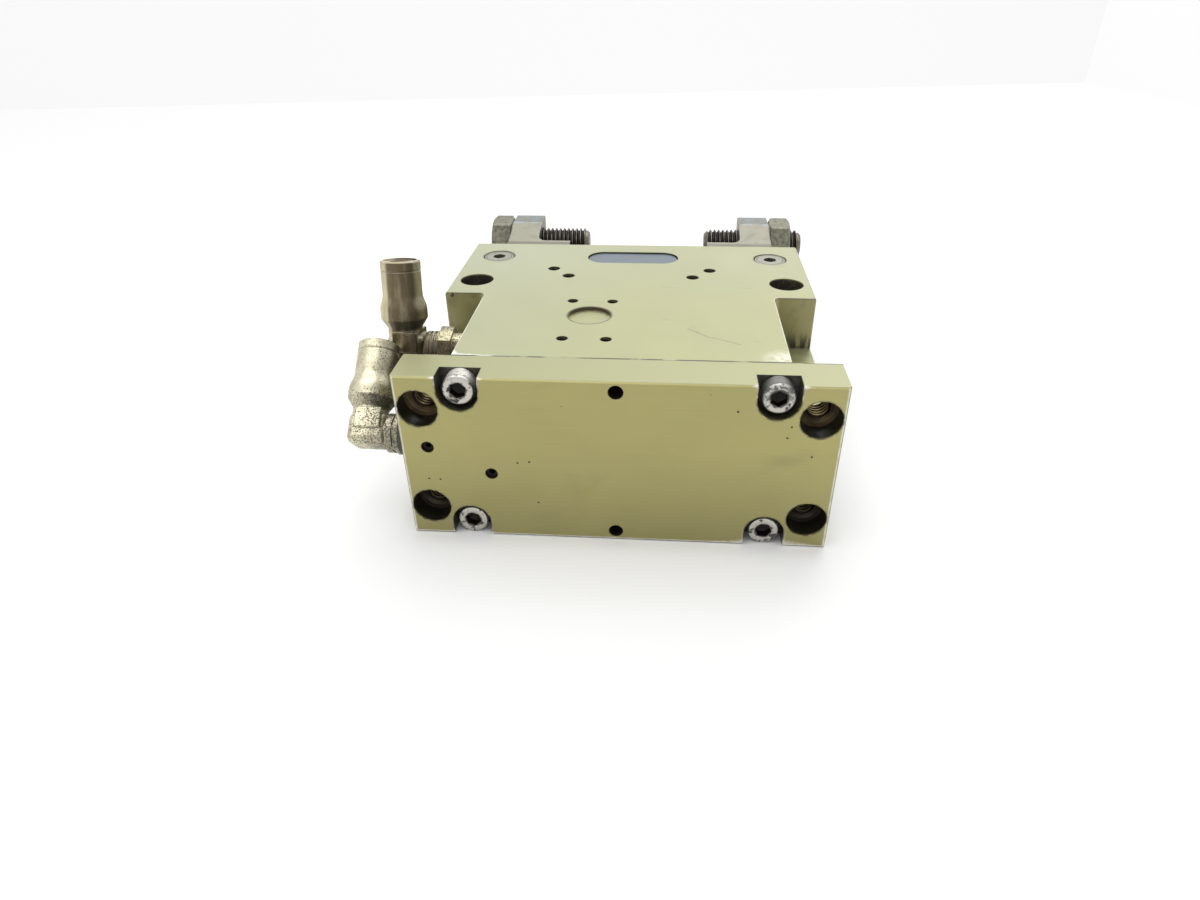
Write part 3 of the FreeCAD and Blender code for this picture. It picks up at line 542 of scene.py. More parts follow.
@dataclass(frozen=True)
class Anodised(Finish):
    """A thin olive film on aluminium, brushed along X and worn bright along its edges.

    Attributes:
        bare: Colour of the worn aluminium.
        grime_and_shade: Colour of old oil in corners and holes, also used there as painted shade.
    """

    bare: Colour = tone(232, 230, 220)
    grime_and_shade: Colour = tone(30, 25, 19)

    def skin(self, graph: Graph) -> Skin:
        """Give the brushed film.

        Args:
            graph: The graph of the finish.

        Returns:
            The clean surface.
        """
        brush = graph.noise(0.5, 3.0, (60.0, 1.0, 1.0))
        cloud = graph.noise(16.0, 5.0)
        haze = graph.noise(45.0, 2.0)
        colour = graph.shade(self.colour, brush * 0.10 + cloud * 0.16 + haze * 0.14 + 0.80)
        roughness = brush * 0.10 + cloud * 0.14 + (self.roughness - 0.12)
        height = brush * 0.7 + graph.noise(0.3, 2.0) * 0.3
        return Skin(graph, colour, roughness, self.metallic, height, self.grain)

    def lay_grime_and_shade(self, skin: Skin, mask: Wire, roughness: float = 0.6) -> None:
        """Lay the dark oil colour on the surface where a mask is one; at some marks it is dirt, at others
        painted shade.
        """
        skin.cover(mask, self.grime_and_shade, roughness, 0.0)

    def edge(self, graph: Graph, low: Point, high: Point) -> Wire:
        """Give the distance from the nearest edge of a block.

        Args:
            graph: The graph of the finish.
            low: Lowest corner of the block in millimetres.
            high: Highest corner of the block.

        Returns:
            The distance in millimetres.
        """
        rows = zip(graph.ways(), low, high)
        gaps = [(end - start) / 2 - abs(way - (start + end) / 2) for way, start, end in rows]
        deep, wide, tall = (abs(gap) for gap in gaps)
        beyond = gaps[0].least(gaps[1]).least(gaps[2]).least(0.0)
        return deep.most(wide).least(deep.most(tall)).least(wide.most(tall)) - beyond * 9.0

    def seam_line(self, skin: Skin) -> None:
        """Draw the broken dark line where cover and housing meet.

        Args:
            skin: The surface so far.
        """
        graph = skin.graph
        x, y = graph.ways()[:2]
        broken = graph.noise(4.0, 5.0, (2.0, 1.0, 1.0)) + x.ease(-45.0, -10.0) * 0.12
        line = abs(y - SEAM).ease(0.42, 0.2)
        self.lay_grime_and_shade(skin, line * (broken.ease(0.46, 0.60) * 0.8 + 0.12))

    def bare_edges(self, skin: Skin, gap: Wire, reach: Value, strength: Value) -> None:
        """Wear the film off near an edge.

        Args:
            skin: The surface so far.
            gap: Distance from the edge.
            reach: How far the wear goes in from it.
            strength: How clean the bare metal is.
        """
        fine = skin.graph.noise(1.1, 4.0) - 0.5
        patch = skin.graph.noise(9.0, 3.0) - 0.5
        spot = gap / reach + fine * 0.9 + patch * 1.6
        skin.cover(spot.ease(1.15, 0.2) * strength, self.bare, 0.42, 0.35)


@dataclass(frozen=True)
class AnodisedCover(Anodised):
    """The film of the rear cover, with its notches, sinks and chips.

    Attributes:
        low: Lowest corner of the cover in millimetres.
        high: Highest corner of the cover.
        notch: Middle of a screw notch in X and Z.
        notch_radius: Radius of a notch.
        notch_depth: Depth of a notch.
        sink: Middle of a mounting sink in X and Z.
        sink_radius: Radius of a sink.
        dowel: Middle of a dowel hole in X and Z.
        dowel_radius: Radius of a dowel hole.
        air: Middles of the small air holes in X and Z.
        air_radius: Radius of an air hole.
        dust: Colour of the dusty upper face.
        chips: Small dark chips on the rear face in X and Z.
    """

    low: Point = (-58.0, 0.0, -TOP)
    high: Point = (58.0, SEAM, TOP)
    notch: Spot = SCREWS
    notch_radius: float = 5.5
    notch_depth: float = 6.2
    sink: Spot = SINKS
    sink_radius: float = 5.4
    dowel: Spot = (0.0, 22.0)
    dowel_radius: float = 2.0
    air: tuple[Spot, ...] = ((-50.7, 3.9), (-33.9, -4.0))
    air_radius: float = 1.75
    dust: Colour = tone(152, 154, 118)
    chips: tuple[Spot, ...] = (
        (-21.5, -13.1), (-26.5, -0.2), (-23.3, 0.2), (-51.5, -6.3), (-48.4, -6.4),
        (30.9, 17.5), (44.7, 13.5), (44.0, 10.2), (50.8, 4.7),
    )

    def age(self, skin: Skin) -> None:
        """Lay dust, smudges, chips, bare edges and dirt on the cover, with painted shade, shadow and
        highlight.

        Args:
            skin: The surface so far.
        """
        self.shade_and_soil_faces(skin)
        self.wear_edges(skin)
        self.seam_line(skin)
        self.blacken_holes(skin)

    def rear_face(self, graph: Graph) -> Wire:
        """Give one on the rear face."""
        return graph.ways()[1].ease(0.35, 0.15)

    def shade_and_soil_faces(self, skin: Skin) -> None:
        """Paint shade on the rear face, darker towards the bottom, and lay dust, smudges and chips on the
        cover.

        Args:
            skin: The surface so far.
        """
        graph = skin.graph
        x, y, z = graph.ways()
        # Painted shade: the rear face darkens towards its bottom edge.
        skin.colour = graph.shade(skin.colour, 1 - z.ease(10.0, -25.0) * y.ease(2.0, 0.5) * 0.24)
        dusty = z.ease(24.7, 24.95).most(abs(x).ease(57.7, 57.95))
        skin.cover(dusty * 0.75, self.dust, 0.45, 0.5)
        smudge = graph.noise(11.0, 5.0, (2.5, 1.0, 1.0)).ease(0.58, 0.80)
        skin.cover(smudge * 0.16, self.grime_and_shade, 0.55, 0.1)
        self.lay_grime_and_shade(skin, graph.specks(3.4, 0.12, 0.075) * 0.6)
        chip = graph.reach(x, z, *self.chips) + graph.noise(0.5, 2.0) * 0.35
        self.lay_grime_and_shade(skin, chip.ease(0.55, 0.38) * self.rear_face(graph))

    def wear_edges(self, skin: Skin) -> None:
        """Wear the film off the edges, most where the notches end, and paint a highlight and a shadow line
        along the side and bottom edges.

        Args:
            skin: The surface so far.
        """
        graph = skin.graph
        x, y, z = graph.ways()
        side = abs(x)
        beside = abs(side - self.notch[0]) - self.notch_radius
        low_end = z.ease(-18.0, -24.0)
        near = beside.ease(12.0, 0.0)
        reach = low_end * (near * (x.ease(-20.0, 40.0) * 1.2 + 0.3) + 0.4) + 0.24
        shoulder = beside.ease(2.5, 0.0) * y.ease(6.0, 1.0) * z.ease(20.0, 24.0)
        ends = low_end.most(shoulder)
        rear = self.edge(graph, self.low, self.high) + y.ease(11.5, 12.5) * 3.0
        self.bare_edges(skin, rear, reach + shoulder * 0.7, ends * 0.55 + 0.3)
        # Pale line inside the side and bottom edges of the rear face: bare metal and painted chamfer
        # highlight.
        border = (self.high[0] - side).least(z - self.low[2])
        share = graph.noise(3.0, 3.0).ease(0.25, 0.6) * 0.4 + 0.35
        line = border.ease(0.9, 0.6) * self.rear_face(graph) * share
        skin.cover(line, self.bare, 0.42, 0.35)
        # Painted shadow: a dark line right at the side and bottom edges.
        self.lay_grime_and_shade(skin, border.ease(0.4, 0.2) * y.ease(1.0, 0.5) * 0.4)
        self.bare_edges(skin, abs(beside).most(y), 0.45, ends * 0.8)

    def blacken_holes(self, skin: Skin) -> None:
        """Blacken the notches, the sinks and the small holes with dirt and painted shade, and flake dirt
        round their outlines.

        Args:
            skin: The surface so far.
        """
        graph = skin.graph
        x, y, z = graph.ways()
        side, rise = abs(x), abs(z)
        notch = graph.reach(side, rise.least(self.notch[1]), self.notch) - self.notch_radius
        sink = graph.reach(side, rise, self.sink) - self.sink_radius
        outline = abs(notch).least(abs(sink)).ease(0.45, 0.12) * self.rear_face(graph)
        flake = graph.noise(1.6, 4.0).ease(0.36, 0.58)
        self.lay_grime_and_shade(skin, outline * flake * z.ease(-24.6, -23.0) * 0.75)
        # Notch walls: sooty dirt and painted shade.
        soot_and_shade = notch.ease(0.2, 0.05) * y.ease(0.15, 0.6) * (y - self.notch_depth).ease(0.1, -0.1)
        gun = graph.blend(tone(62, 64, 60), self.grime_and_shade, graph.noise(1.8, 4.0).ease(0.3, 0.62))
        skin.cover(soot_and_shade * 0.96, gun, 0.5, 0.3)
        # Sink interiors: rusty dirt with painted shade on the walls; the paler ledge is cut back in the
        # lower sinks as painted shade.
        ledge = graph.noise(2.6, 2.0).ease(0.35, 0.75) * 0.6 + rise.ease(20.0, 11.0) * 0.3 + 0.1
        ledge = ledge * y.ease(5.6, 6.5) * (z.ease(-5.0, 5.0) * 0.7 + 0.3)
        rust_and_shade = graph.blend(tone(23, 19, 14), tone(116, 96, 60), ledge)
        within = (y - self.high[1]).ease(-0.3, -0.8)
        skin.cover(sink.ease(0.2, 0.05) * y.ease(0.1, 0.7) * within * 0.98, rust_and_shade, 0.5, 0.4)
        # Painted shade inside the dowel and air holes.
        small = graph.reach(x, rise, self.dowel) - self.dowel_radius
        small = small.least(graph.reach(x, z, *self.air) - self.air_radius)
        self.lay_grime_and_shade(skin, small.ease(0.2, 0.05) * y.ease(0.05, 0.4) * within)


@dataclass(frozen=True)
class AnodisedHousing(Anodised):
    """The film of the housing, with its holes, pockets and scratches.

    Attributes:
        blocks: Lowest and highest corners of its two blocks in millimetres.
        bolt: Middle of a side bolt sink in X and Y.
        bolt_radius: Radius of that sink.
        pivot: Middle of a pivot pin in X and Y.
        pivot_radius: Radius of the pin's hole.
        tap_radius: Radius of the taps on both sides.
        sensor_radius: Radius of the small taps about the recess.
        recess: Middle of the round recess in X and Y.
        recess_radius: Radius of the recess.
        roof: Thickness of the wall over the levers.
        slot: Half height of the levers' opening.
        badge: Half length of the badge pocket's straight part, its middle along Y and its end radius.
        nick: Chip at the corner of the left pocket in X and Z.
        scratches: Ends of the scratches on the upper face in X and Y, with their strength.
    """

    blocks: tuple[tuple[Point, Point], ...] = (
        ((-45.1, SEAM, -TOP), (45.1, 58.5, TOP)),
        ((-58.0, 58.5, -TOP), (58.0, 108.2, TOP)),
    )
    bolt: Spot = BOLTS
    bolt_radius: float = 5.4
    pivot: Spot = (47.35, 94.25)
    pivot_radius: float = 5.55
    tap_radius: float = 2.05
    sensor_radius: float = 1.65
    recess: Spot = (-10.45, 42.3)
    recess_radius: float = 6.6
    roof: float = 7.4
    slot: float = 8.3
    badge: Point = (9.9, 94.3, 5.85)
    nick: Spot = (-55.7, 24.1)
    scratches: tuple[tuple[Spot, Spot, float], ...] = (
        ((18.4, 33.9), (24.9, 28.1), 0.75),
        ((24.9, 28.1), (33.1, 23.9), 0.7),
        ((11.3, 40.0), (13.6, 40.1), 0.45),
        ((36.5, 26.0), (38.7, 26.1), 0.4),
        ((9.9, 66.5), (16.3, 65.9), 0.4),
        ((33.7, 66.7), (39.0, 66.5), 0.4),
    )

    def age(self, skin: Skin) -> None:
        """Lay scratches, stains, bare edges and dirt on the housing, with a painted sheen on its upper
        face and painted shade and shadow in its pockets and holes.

        Args:
            skin: The surface so far.
        """
        self.mark_top(skin)
        self.wear_edges(skin)
        self.seam_line(skin)
        self.stain_and_shade_wall(skin)
        self.blacken_holes(skin)
        self.line_pockets(skin)

    def upper_face(self, graph: Graph) -> Wire:
        """Give one on the upper face."""
        return graph.ways()[2].ease(TOP - 0.4, TOP - 0.1)

    def within_roof(self, graph: Graph) -> Wire:
        """Give one in the wall over the levers."""
        return (graph.ways()[2] - TOP + self.roof).ease(-0.2, 0.2)

    def mark_top(self, skin: Skin) -> None:
        """Smudge the film, paint a sheen on the upper face and scratch it.

        Args:
            skin: The surface so far.
        """
        graph = skin.graph
        x, y = graph.ways()[:2]
        top = self.upper_face(graph)
        smudge = graph.noise(9.0, 5.0, (1.6, 1.6, 1.0)).ease(0.62, 0.82)
        skin.cover(smudge * 0.14, self.grime_and_shade, 0.55, 0.1)
        self.lay_grime_and_shade(skin, graph.specks(4.0, 0.12, 0.06) * 0.5)
        # Painted sheen: the upper face is lightened towards the back and the left.
        pale = y.ease(35.0, 100.0) + x.ease(10.0, -40.0)
        skin.cover(top * pale * 0.3, tone(174, 180, 153), 0.42, 0.5)
        wander = graph.noise(3.0, 2.0)
        for start, end, strength in self.scratches:
            begin = start[0] + 0.3, start[1] + 0.25
            line = graph.scratch(x + wander * 0.6, y + wander * 0.5, begin, end)
            skin.cover(line.ease(0.22, 0.08) * top * strength, tone(92, 84, 66), 0.5, 0.3)

    def wear_edges(self, skin: Skin) -> None:
        """Wear the film off the edges of both blocks and off the neck's right corner.

        Args:
            skin: The surface so far.
        """
        graph = skin.graph
        x, y = graph.ways()[:2]
        (neck_low, neck_high), (head_low, head_high) = self.blocks
        wide, corner = neck_high[:2]
        outer = x.ease(-20.0, -42.0).most(x.ease(36.0, 44.0))
        neck = y.ease(corner - 0.3, corner - 0.6) * (outer * 0.5 + 0.25)
        left_end = x.ease(-22.0, -38.0) * y.ease(17.0, 15.0)
        gap = self.edge(graph, neck_low, neck_high)
        self.bare_edges(skin, gap, left_end * 0.7 + 0.3, neck + left_end * 0.2)
        worn = graph.noise(2.0, 4.0).ease(0.35, 0.6) * 0.4 + 0.15
        worn = graph.reach(x, y, (44.0, 14.5)).ease(8.0, 2.0) * worn
        skin.cover(worn * self.upper_face(graph), self.bare, 0.4, 0.7)
        head = abs(x).ease(wide, wide + 0.4).most(y.ease(corner + 2.0, corner + 3.0)) * 0.6
        self.bare_edges(skin, self.edge(graph, head_low, head_high), 0.3, head)

    def stain_and_shade_wall(self, skin: Skin) -> None:
        """Stain the rear wall of the head and the edge of the levers' opening, and paint shadow into the
        left pocket.

        Args:
            skin: The surface so far.
        """
        graph = skin.graph
        x, y, z = graph.ways()
        side, rise = abs(x), abs(z)
        corner = self.blocks[0][1][1]
        wall = y.ease(corner - 0.4, corner - 0.1) * y.ease(corner + 0.4, corner + 0.1)
        wall = wall * side.ease(45.0, 46.5)
        skin.cover(wall * 0.35, tone(142, 126, 68), 0.5, 0.4)
        # Painted shadow on the left pocket's wall, darker towards the neck.
        shadow = side.ease(57.0, 46.0) * graph.noise(5.0, 4.0).ease(0.25, 0.7)
        skin.cover(wall * shadow * x.ease(10.0, -10.0) * 0.38, self.grime_and_shade, 0.5, 0.1)
        nick = graph.reach(x, z, self.nick) + graph.noise(0.9, 4.0) * 2.4
        nick = nick.ease(2.0, 1.7).most(z.ease(TOP - 0.6, TOP - 0.2) * 0.5)
        self.lay_grime_and_shade(skin, wall * nick * 0.85)
        streak = graph.noise(1.4, 5.0, (1.0, 1.0, 3.0)).ease(0.36, 0.56)
        foul = wall * rise.ease(15.0, 9.0) * streak * (x.ease(-30.0, 30.0) * 0.65 + 0.3)
        self.lay_grime_and_shade(skin, foul, 0.5)
        self.lay_grime_and_shade(skin, wall * graph.noise(4.0, 5.0).ease(0.5, 0.75) * 0.25, 0.5)
        band = abs(rise - self.slot).ease(1.4, 0.1) * side.ease(45.0, 45.4)
        self.lay_grime_and_shade(skin, band * graph.noise(4.0, 4.0).ease(0.30, 0.80) * 0.35)

    def blacken_holes(self, skin: Skin) -> None:
        """Lay rusty dirt and painted shade in the bolt sinks, paint shade into the taps and lay dirt round
        the pivot pins.

        Args:
            skin: The surface so far.
        """
        graph = skin.graph
        x, y, z = graph.ways()
        side = abs(x)
        # Bolt sinks: rusty dirt and painted shade inside.
        bolt = graph.reach(side, y, self.bolt) - self.bolt_radius
        inside = bolt.ease(0.2, 0.05) * abs(z).ease(TOP - 0.1, TOP - 0.7)
        patchy = graph.noise(1.4, 4.0).ease(0.45, 0.75)
        rust_and_shade = graph.blend(tone(38, 34, 31), tone(86, 76, 62), patchy)
        skin.cover(inside * 0.96, rust_and_shade, 0.55, 0.2)
        # Painted shade inside the taps.
        small = graph.reach(side, y, *TAPS) - self.tap_radius
        small = small.least(graph.reach(x, y, *SENSOR_TAPS) - self.sensor_radius).ease(0.2, 0.05)
        self.lay_grime_and_shade(skin, small * self.within_roof(graph) * z.ease(TOP - 0.05, TOP - 0.4))
        ring = abs(graph.reach(side, y, self.pivot) - self.pivot_radius).ease(0.4, 0.1)
        broken = graph.noise(5.0, 2.0).ease(0.35, 0.6) * 0.6 + 0.3
        self.lay_grime_and_shade(skin, ring * self.upper_face(graph) * broken)

    def line_pockets(self, skin: Skin) -> None:
        """Lay dirt and painted shade in the round recess, and painted shadow along the badge's pocket.

        Args:
            skin: The surface so far.
        """
        graph = skin.graph
        x, y, z = graph.ways()
        upper = self.within_roof(graph)
        dish = graph.reach(x, y, self.recess) - self.recess_radius
        far = (y - self.recess[1]).ease(0.0, 4.0)
        grit = graph.noise(0.55, 2.0).ease(0.50, 0.62) * dish.ease(-2.2, -0.6) * far
        grit = grit * dish.ease(-0.1, -0.4) * z.ease(TOP - 0.6, TOP - 1.0)
        self.lay_grime_and_shade(skin, grit * upper * 0.8)
        # Dirt and painted shade on the recess wall, strongest on its far side, and in a thin line round
        # its rim.
        lip = dish.ease(0.0, -0.15) * dish.ease(-0.4, -0.25) * z.ease(TOP - 0.05, TOP - 0.25)
        lip = lip * upper * (far * 0.5 + 0.45)
        rim = abs(dish).ease(0.4, 0.15) * self.upper_face(graph) * (far * 0.1 + 0.7)
        skin.cover(lip.most(rim), tone(62, 46, 28), 0.6, 0.0)
        # Painted shadow along the wall of the badge's pocket.
        half, middle_y, radius = self.badge
        pocket = graph.reach((abs(x) - half).most(0.0), y, (0.0, middle_y)) - radius
        gap = abs(pocket).ease(0.5, 0.25) * z.ease(TOP - 0.02, TOP - 0.2) * upper
        self.lay_grime_and_shade(skin, gap * 0.95, 0.5)


@dataclass(frozen=True)
class WornSteel(Finish):
    """Blackened steel that is rubbed bright, more or less.

    Attributes:
        black: Colour of what is left of the blacking.
        share: Part of the surface that is still black.
        patch: Width of its patches in millimetres.
        blur: How softly the patches end.
        rubbed: Colour of the corners.
        corner: How far the corners are rubbed, in millimetres.
    """

    black: Colour = tone(36, 34, 31)
    share: float = 0.4
    patch: float = 2.2
    blur: float = 0.06
    rubbed: Colour = tone(205, 203, 196)
    corner: float = 0.35

    def age(self, skin: Skin) -> None:
        """Leave black patches, then rub the corners.

        Args:
            skin: The surface so far.
        """
        graph = skin.graph
        level = 0.5 + (0.5 - self.share) * 0.5
        patch = graph.noise(self.patch, 5.0).ease(level - self.blur, level + self.blur)
        skin.cover(patch * 0.92, self.black, 0.5, 0.3)
        skin.cover(graph.specks(1.1, 0.45, 0.22) * 0.7, self.black, 0.6, 0.1)
        rub = graph.corners(self.corner) * (graph.noise(1.3, 3.0) * 1.2 + 0.2)
        skin.cover(rub.ease(0.03, 0.16) * 0.8, self.rubbed, 0.35, 1.0)


@dataclass(frozen=True)
class ScrewHeads(WornSteel):
    """The worn heads of the cover screws, one of them darker than the rest.

    Attributes:
        spot: Middle of the darker head in X and Z, and of the rest by mirroring, in millimetres.
        film: Colour of the dark film on the darker head.
        side: Colour of the dull flank of a head.
    """

    spot: Spot = SCREWS
    film: Colour = tone(80, 80, 76)
    side: Colour = tone(190, 188, 180)

    def age(self, skin: Skin) -> None:
        """Wear the heads, dull their flanks, veil the darker one and black the sockets' edges.

        Args:
            skin: The surface so far.
        """
        graph = skin.graph
        super().age(skin)
        x, y, z = graph.ways()
        rings = graph.noise(1.2, 3.0, (8.0, 0.35, 8.0)).ease(0.60, 0.42) * 0.6 + 0.3
        skin.cover(y.ease(1.4, 1.9) * rings, self.side, 0.5, 0.3)
        away = graph.reach(x, z, self.spot)
        veil = (z + graph.noise(1.2, 5.0) * 8.0 - self.spot[1]).ease(3.2, 4.8)
        skin.cover(away.ease(5.2, 4.8) * veil * 0.85, self.film, 0.42, 0.5)
        chip = graph.noise(0.8, 4.0).ease(0.44, 0.52) * abs(away - 3.55).ease(0.9, 0.5)
        skin.cover(chip * y.ease(2.0, 1.7) * veil * 0.8, self.rubbed, 0.4, 0.8)
        socket = graph.reach(abs(x), abs(z), self.spot)
        line = abs(y - 2.0).ease(0.22, 0.08) * socket.ease(3.9, 4.1)
        skin.cover(line * 0.6, self.black, 0.55, 0.2)
        ring = (socket + graph.noise(0.9, 3.0) * 0.9).ease(3.1, 2.7)
        skin.cover(ring * y.ease(1.5, 1.3) * 0.85, self.black, 0.55, 0.2)


@dataclass(frozen=True)
class Milled(Finish):
    """Milled and hardened steel with fine cutter marks and stained corners.

    Attributes:
        stain: Colour of the oil stains.
        rubbed: Colour of the rubbed corners.
        blue_reflection_height: Height above which the steel gets a painted bluish reflection in patches,
            in millimetres.
    """

    stain: Colour = tone(92, 84, 68)
    rubbed: Colour = tone(214, 212, 204)
    blue_reflection_height: float = 100.0

    def skin(self, graph: Graph) -> Skin:
        """Give the milled surface with its cutter marks.

        Args:
            graph: The graph of the finish.

        Returns:
            The clean surface.
        """
        mark = graph.noise(0.4, 2.0, (1.0, 14.0, 14.0))
        cloud = graph.noise(6.0, 5.0)
        colour = graph.shade(self.colour, cloud * 0.30 + mark * 0.20 + 0.75)
        roughness = cloud * 0.18 + mark * 0.10 + (self.roughness - 0.14)
        return Skin(graph, colour, roughness, self.metallic, mark, self.grain)

    def age(self, skin: Skin) -> None:
        """Paint a bluish reflection on the upper end, stain the surface and rub its corners.

        Args:
            skin: The surface so far.
        """
        graph = skin.graph
        z = graph.ways()[2]
        # Painted reflection: bluish patches above a height, on the finger tips' upper faces.
        blue = graph.noise(2.5, 4.0).ease(0.40, 0.62) * 0.6 + 0.1
        skin.cover(z.ease(self.blue_reflection_height - 0.3, self.blue_reflection_height) * blue, tone(140, 152, 162), 0.4, 0.9)
        stain = graph.noise(4.0, 5.0).ease(0.45, 0.80)
        skin.cover(stain * 0.38, self.stain, 0.5, 0.5)
        skin.cover(graph.specks(2.6, 0.35, 0.09) * 0.7, tone(48, 41, 33), 0.6, 0.1)
        rub = graph.corners(0.5) * (graph.noise(2.0, 3.0) * 1.2 + 0.2)
        skin.cover(rub.ease(0.05, 0.2) * 0.45, self.rubbed, 0.35, 1.0)


@dataclass(frozen=True)
class PinFace(Turned):
    """A ground pin end with a turned ring and a fitted centre hole, with oil in both and painted shade in
    the hole.

    Attributes:
        hole: Radius of the centre hole in millimetres.
        ring: Radius of the turned ring.
        oil: Colour of the old oil.
    """

    hole: float = 1.95
    ring: float = 4.45
    oil: Colour = tone(44, 37, 30)

    def age(self, skin: Skin) -> None:
        """Lay oil and painted shade in the hole, and oil on the ring and in small spots.

        Args:
            skin: The surface so far.
        """
        graph = skin.graph
        away, z = self.radius(graph), graph.ways()[2]
        patchy = graph.noise(2.5, 3.0).ease(0.36, 0.6) * 0.4 + 0.4
        skin.cover(abs(away - self.ring).ease(0.28, 0.08) * patchy, self.oil, 0.55, 0.2)
        skin.cover(graph.specks(1.6, 0.3, 0.16) * 0.6, self.oil, 0.6, 0.1)
        # Oil and painted shade darken the centre hole.
        edge = (away + graph.noise(1.0, 3.0) * 0.5).ease(self.hole + 0.45, self.hole + 0.2)
        skin.cover(edge * z.ease(TOP + 0.3, TOP - 0.3) * 0.92, self.oil, 0.6, 0.1)


@dataclass(frozen=True)
class PittedNickel(Finish):
    """Old nickel plate on brass, tarnished, streaked and pitted.

    Attributes:
        tarnish_and_reflection: Colour of the tarnished film, also used for the painted reflection.
        pit: Colour of the pits.
        bright: Colour of rubbed corners and of the painted highlight on the sleeve's rim.
        crowd: How densely pits stand on the sleeve.
        housing_reflection: How much darker it gets towards the housing, as a painted reflection of the
            dark housing.
        brown: Strength of the brownish painted reflection on what faces the rear.
        centre: Middle of the elbow in millimetres.
        lean: How far its sleeve leans towards Y, in degrees.
    """

    tarnish_and_reflection: Colour = tone(112, 99, 76)
    pit: Colour = tone(40, 35, 26)
    bright: Colour = tone(240, 232, 220)
    crowd: float = 0.3
    housing_reflection: float = 0.4
    brown: float = 0.0
    centre: Point = (0.0, 0.0, 0.0)
    lean: float = 0.0

    def age(self, skin: Skin) -> None:
        """Streak the plate and pit it, more below the sleeve and towards the housing, and paint its
        reflections, the shadow below the sleeve and a highlight on the rim.

        Args:
            skin: The surface so far.
        """
        graph = skin.graph
        x, y, z = (way - start for way, start in zip(graph.ways(), self.centre))
        lean = math.radians(self.lean)
        faces = graph.facing()
        along = y * math.sin(lean) + z * math.cos(lean)
        upward = faces[1] * math.sin(lean) + faces[2] * math.cos(lean)
        streak = graph.noise(2.2, 4.0, (1.0, 1.0, 6.0)).ease(0.36, 0.68)
        skin.cover(streak * 0.3, self.tarnish_and_reflection, 0.45, 0.8)
        veil = graph.noise(3.0, 4.0, (0.6, 1.0, 4.0)).ease(0.30, 0.60) * 0.3 + 0.7
        # Painted reflection: a brownish band down the side that faces the rear.
        middle = faces[1].ease(-0.35, -0.65) * x.ease(-3.3, -2.2)
        skin.cover(middle * veil * self.brown, self.tarnish_and_reflection, 0.40, 0.85)
        # Painted reflection: the plate is darker on the side towards the housing; the pits are also denser
        # there.
        inward = x.ease(-3.0, 6.0)
        skin.colour = graph.shade(skin.colour, 1 - inward * self.housing_reflection)
        dense = (graph.noise(5.0, 3.0) - 0.5) * 1.6 + along.ease(13.0, 8.5) * 0.7
        dense = dense + inward * 0.5 + self.crowd
        pits = (graph.noise(0.40, 1.0) + dense * 0.12).ease(0.64, 0.70)
        skin.cover(pits * 0.72, self.pit, 0.7, 0.1)
        # Below the sleeve's bulge: painted shadow and dirt in the pit colour.
        throat = along.ease(5.6, 7.2) * along.ease(9.7, 9.1) * (x.ease(-3.0, 3.0) * 0.6 + 0.2)
        skin.cover(throat * (graph.noise(1.2, 4.0).ease(0.3, 0.6) * 0.4 + 0.6), self.pit, 0.6, 0.2)
        skin.height = graph.noise(1.4, 3.0) * 0.5 - pits
        rub = graph.corners(0.4) * (graph.noise(1.5, 3.0) * 1.2 + 0.1)
        skin.cover(rub.ease(0.05, 0.25) * 0.5, self.bright, 0.3, 1.0)
        # Painted highlight on the upward face of the sleeve's rim.
        skin.cover(upward.ease(0.80, 0.95) * along.ease(24.0, 25.0) * 0.95, self.bright, 0.3, 0.7)


@dataclass(frozen=True)
class StainedThread(Turned):
    """A dark oiled thread whose crests are rubbed.

    Attributes:
        crest: Radius at which the thread is brightest, in millimetres.
        root: Radius at which it is darkest.
        rubbed: Colour of the crests.
        ends: Where the thread's bright ends begin along the axis; none where they are equal.
        painted_low_shade: How much darker it is painted below the middle of the housing, as shade.
    """

    crest: float = 6.0
    root: float = 5.0
    rubbed: Colour = tone(140, 133, 120)
    ends: Spot = (0.0, 0.0)
    painted_low_shade: float = 0.0

    def age(self, skin: Skin) -> None:
        """Rub the crests, leave dirt and painted shade in the roots and paint shade on what lies low.

        Args:
            skin: The surface so far.
        """
        graph = skin.graph
        away = self.radius(graph)
        patch = graph.noise(2.4, 4.0)
        low, high = self.root, self.crest
        # Dirt and painted shade in the thread's roots.
        skin.cover(away.ease(low * 0.6 + high * 0.4, low) * 0.8, tone(20, 17, 14), 0.7, 0.1)
        rub = away.ease(low * 0.2 + high * 0.8, high) * patch.ease(0.25, 0.60)
        skin.cover(rub * 0.75, self.rubbed, 0.4, 1.0)
        if self.ends[0] != self.ends[1]:
            along = graph.ways()[self.axis.value]
            start, end = self.ends
            tip = along.ease(start + 0.4, start - 0.4).most(along.ease(end - 0.4, end + 0.4))
            skin.cover(tip * (patch.ease(0.3, 0.6) * 0.4 + 0.5), self.rubbed, 0.4, 1.0)
        # Painted shade: darker below the middle of the housing.
        skin.colour = graph.shade(skin.colour, 1 - graph.ways()[2].ease(5.0, -5.0) * self.painted_low_shade)


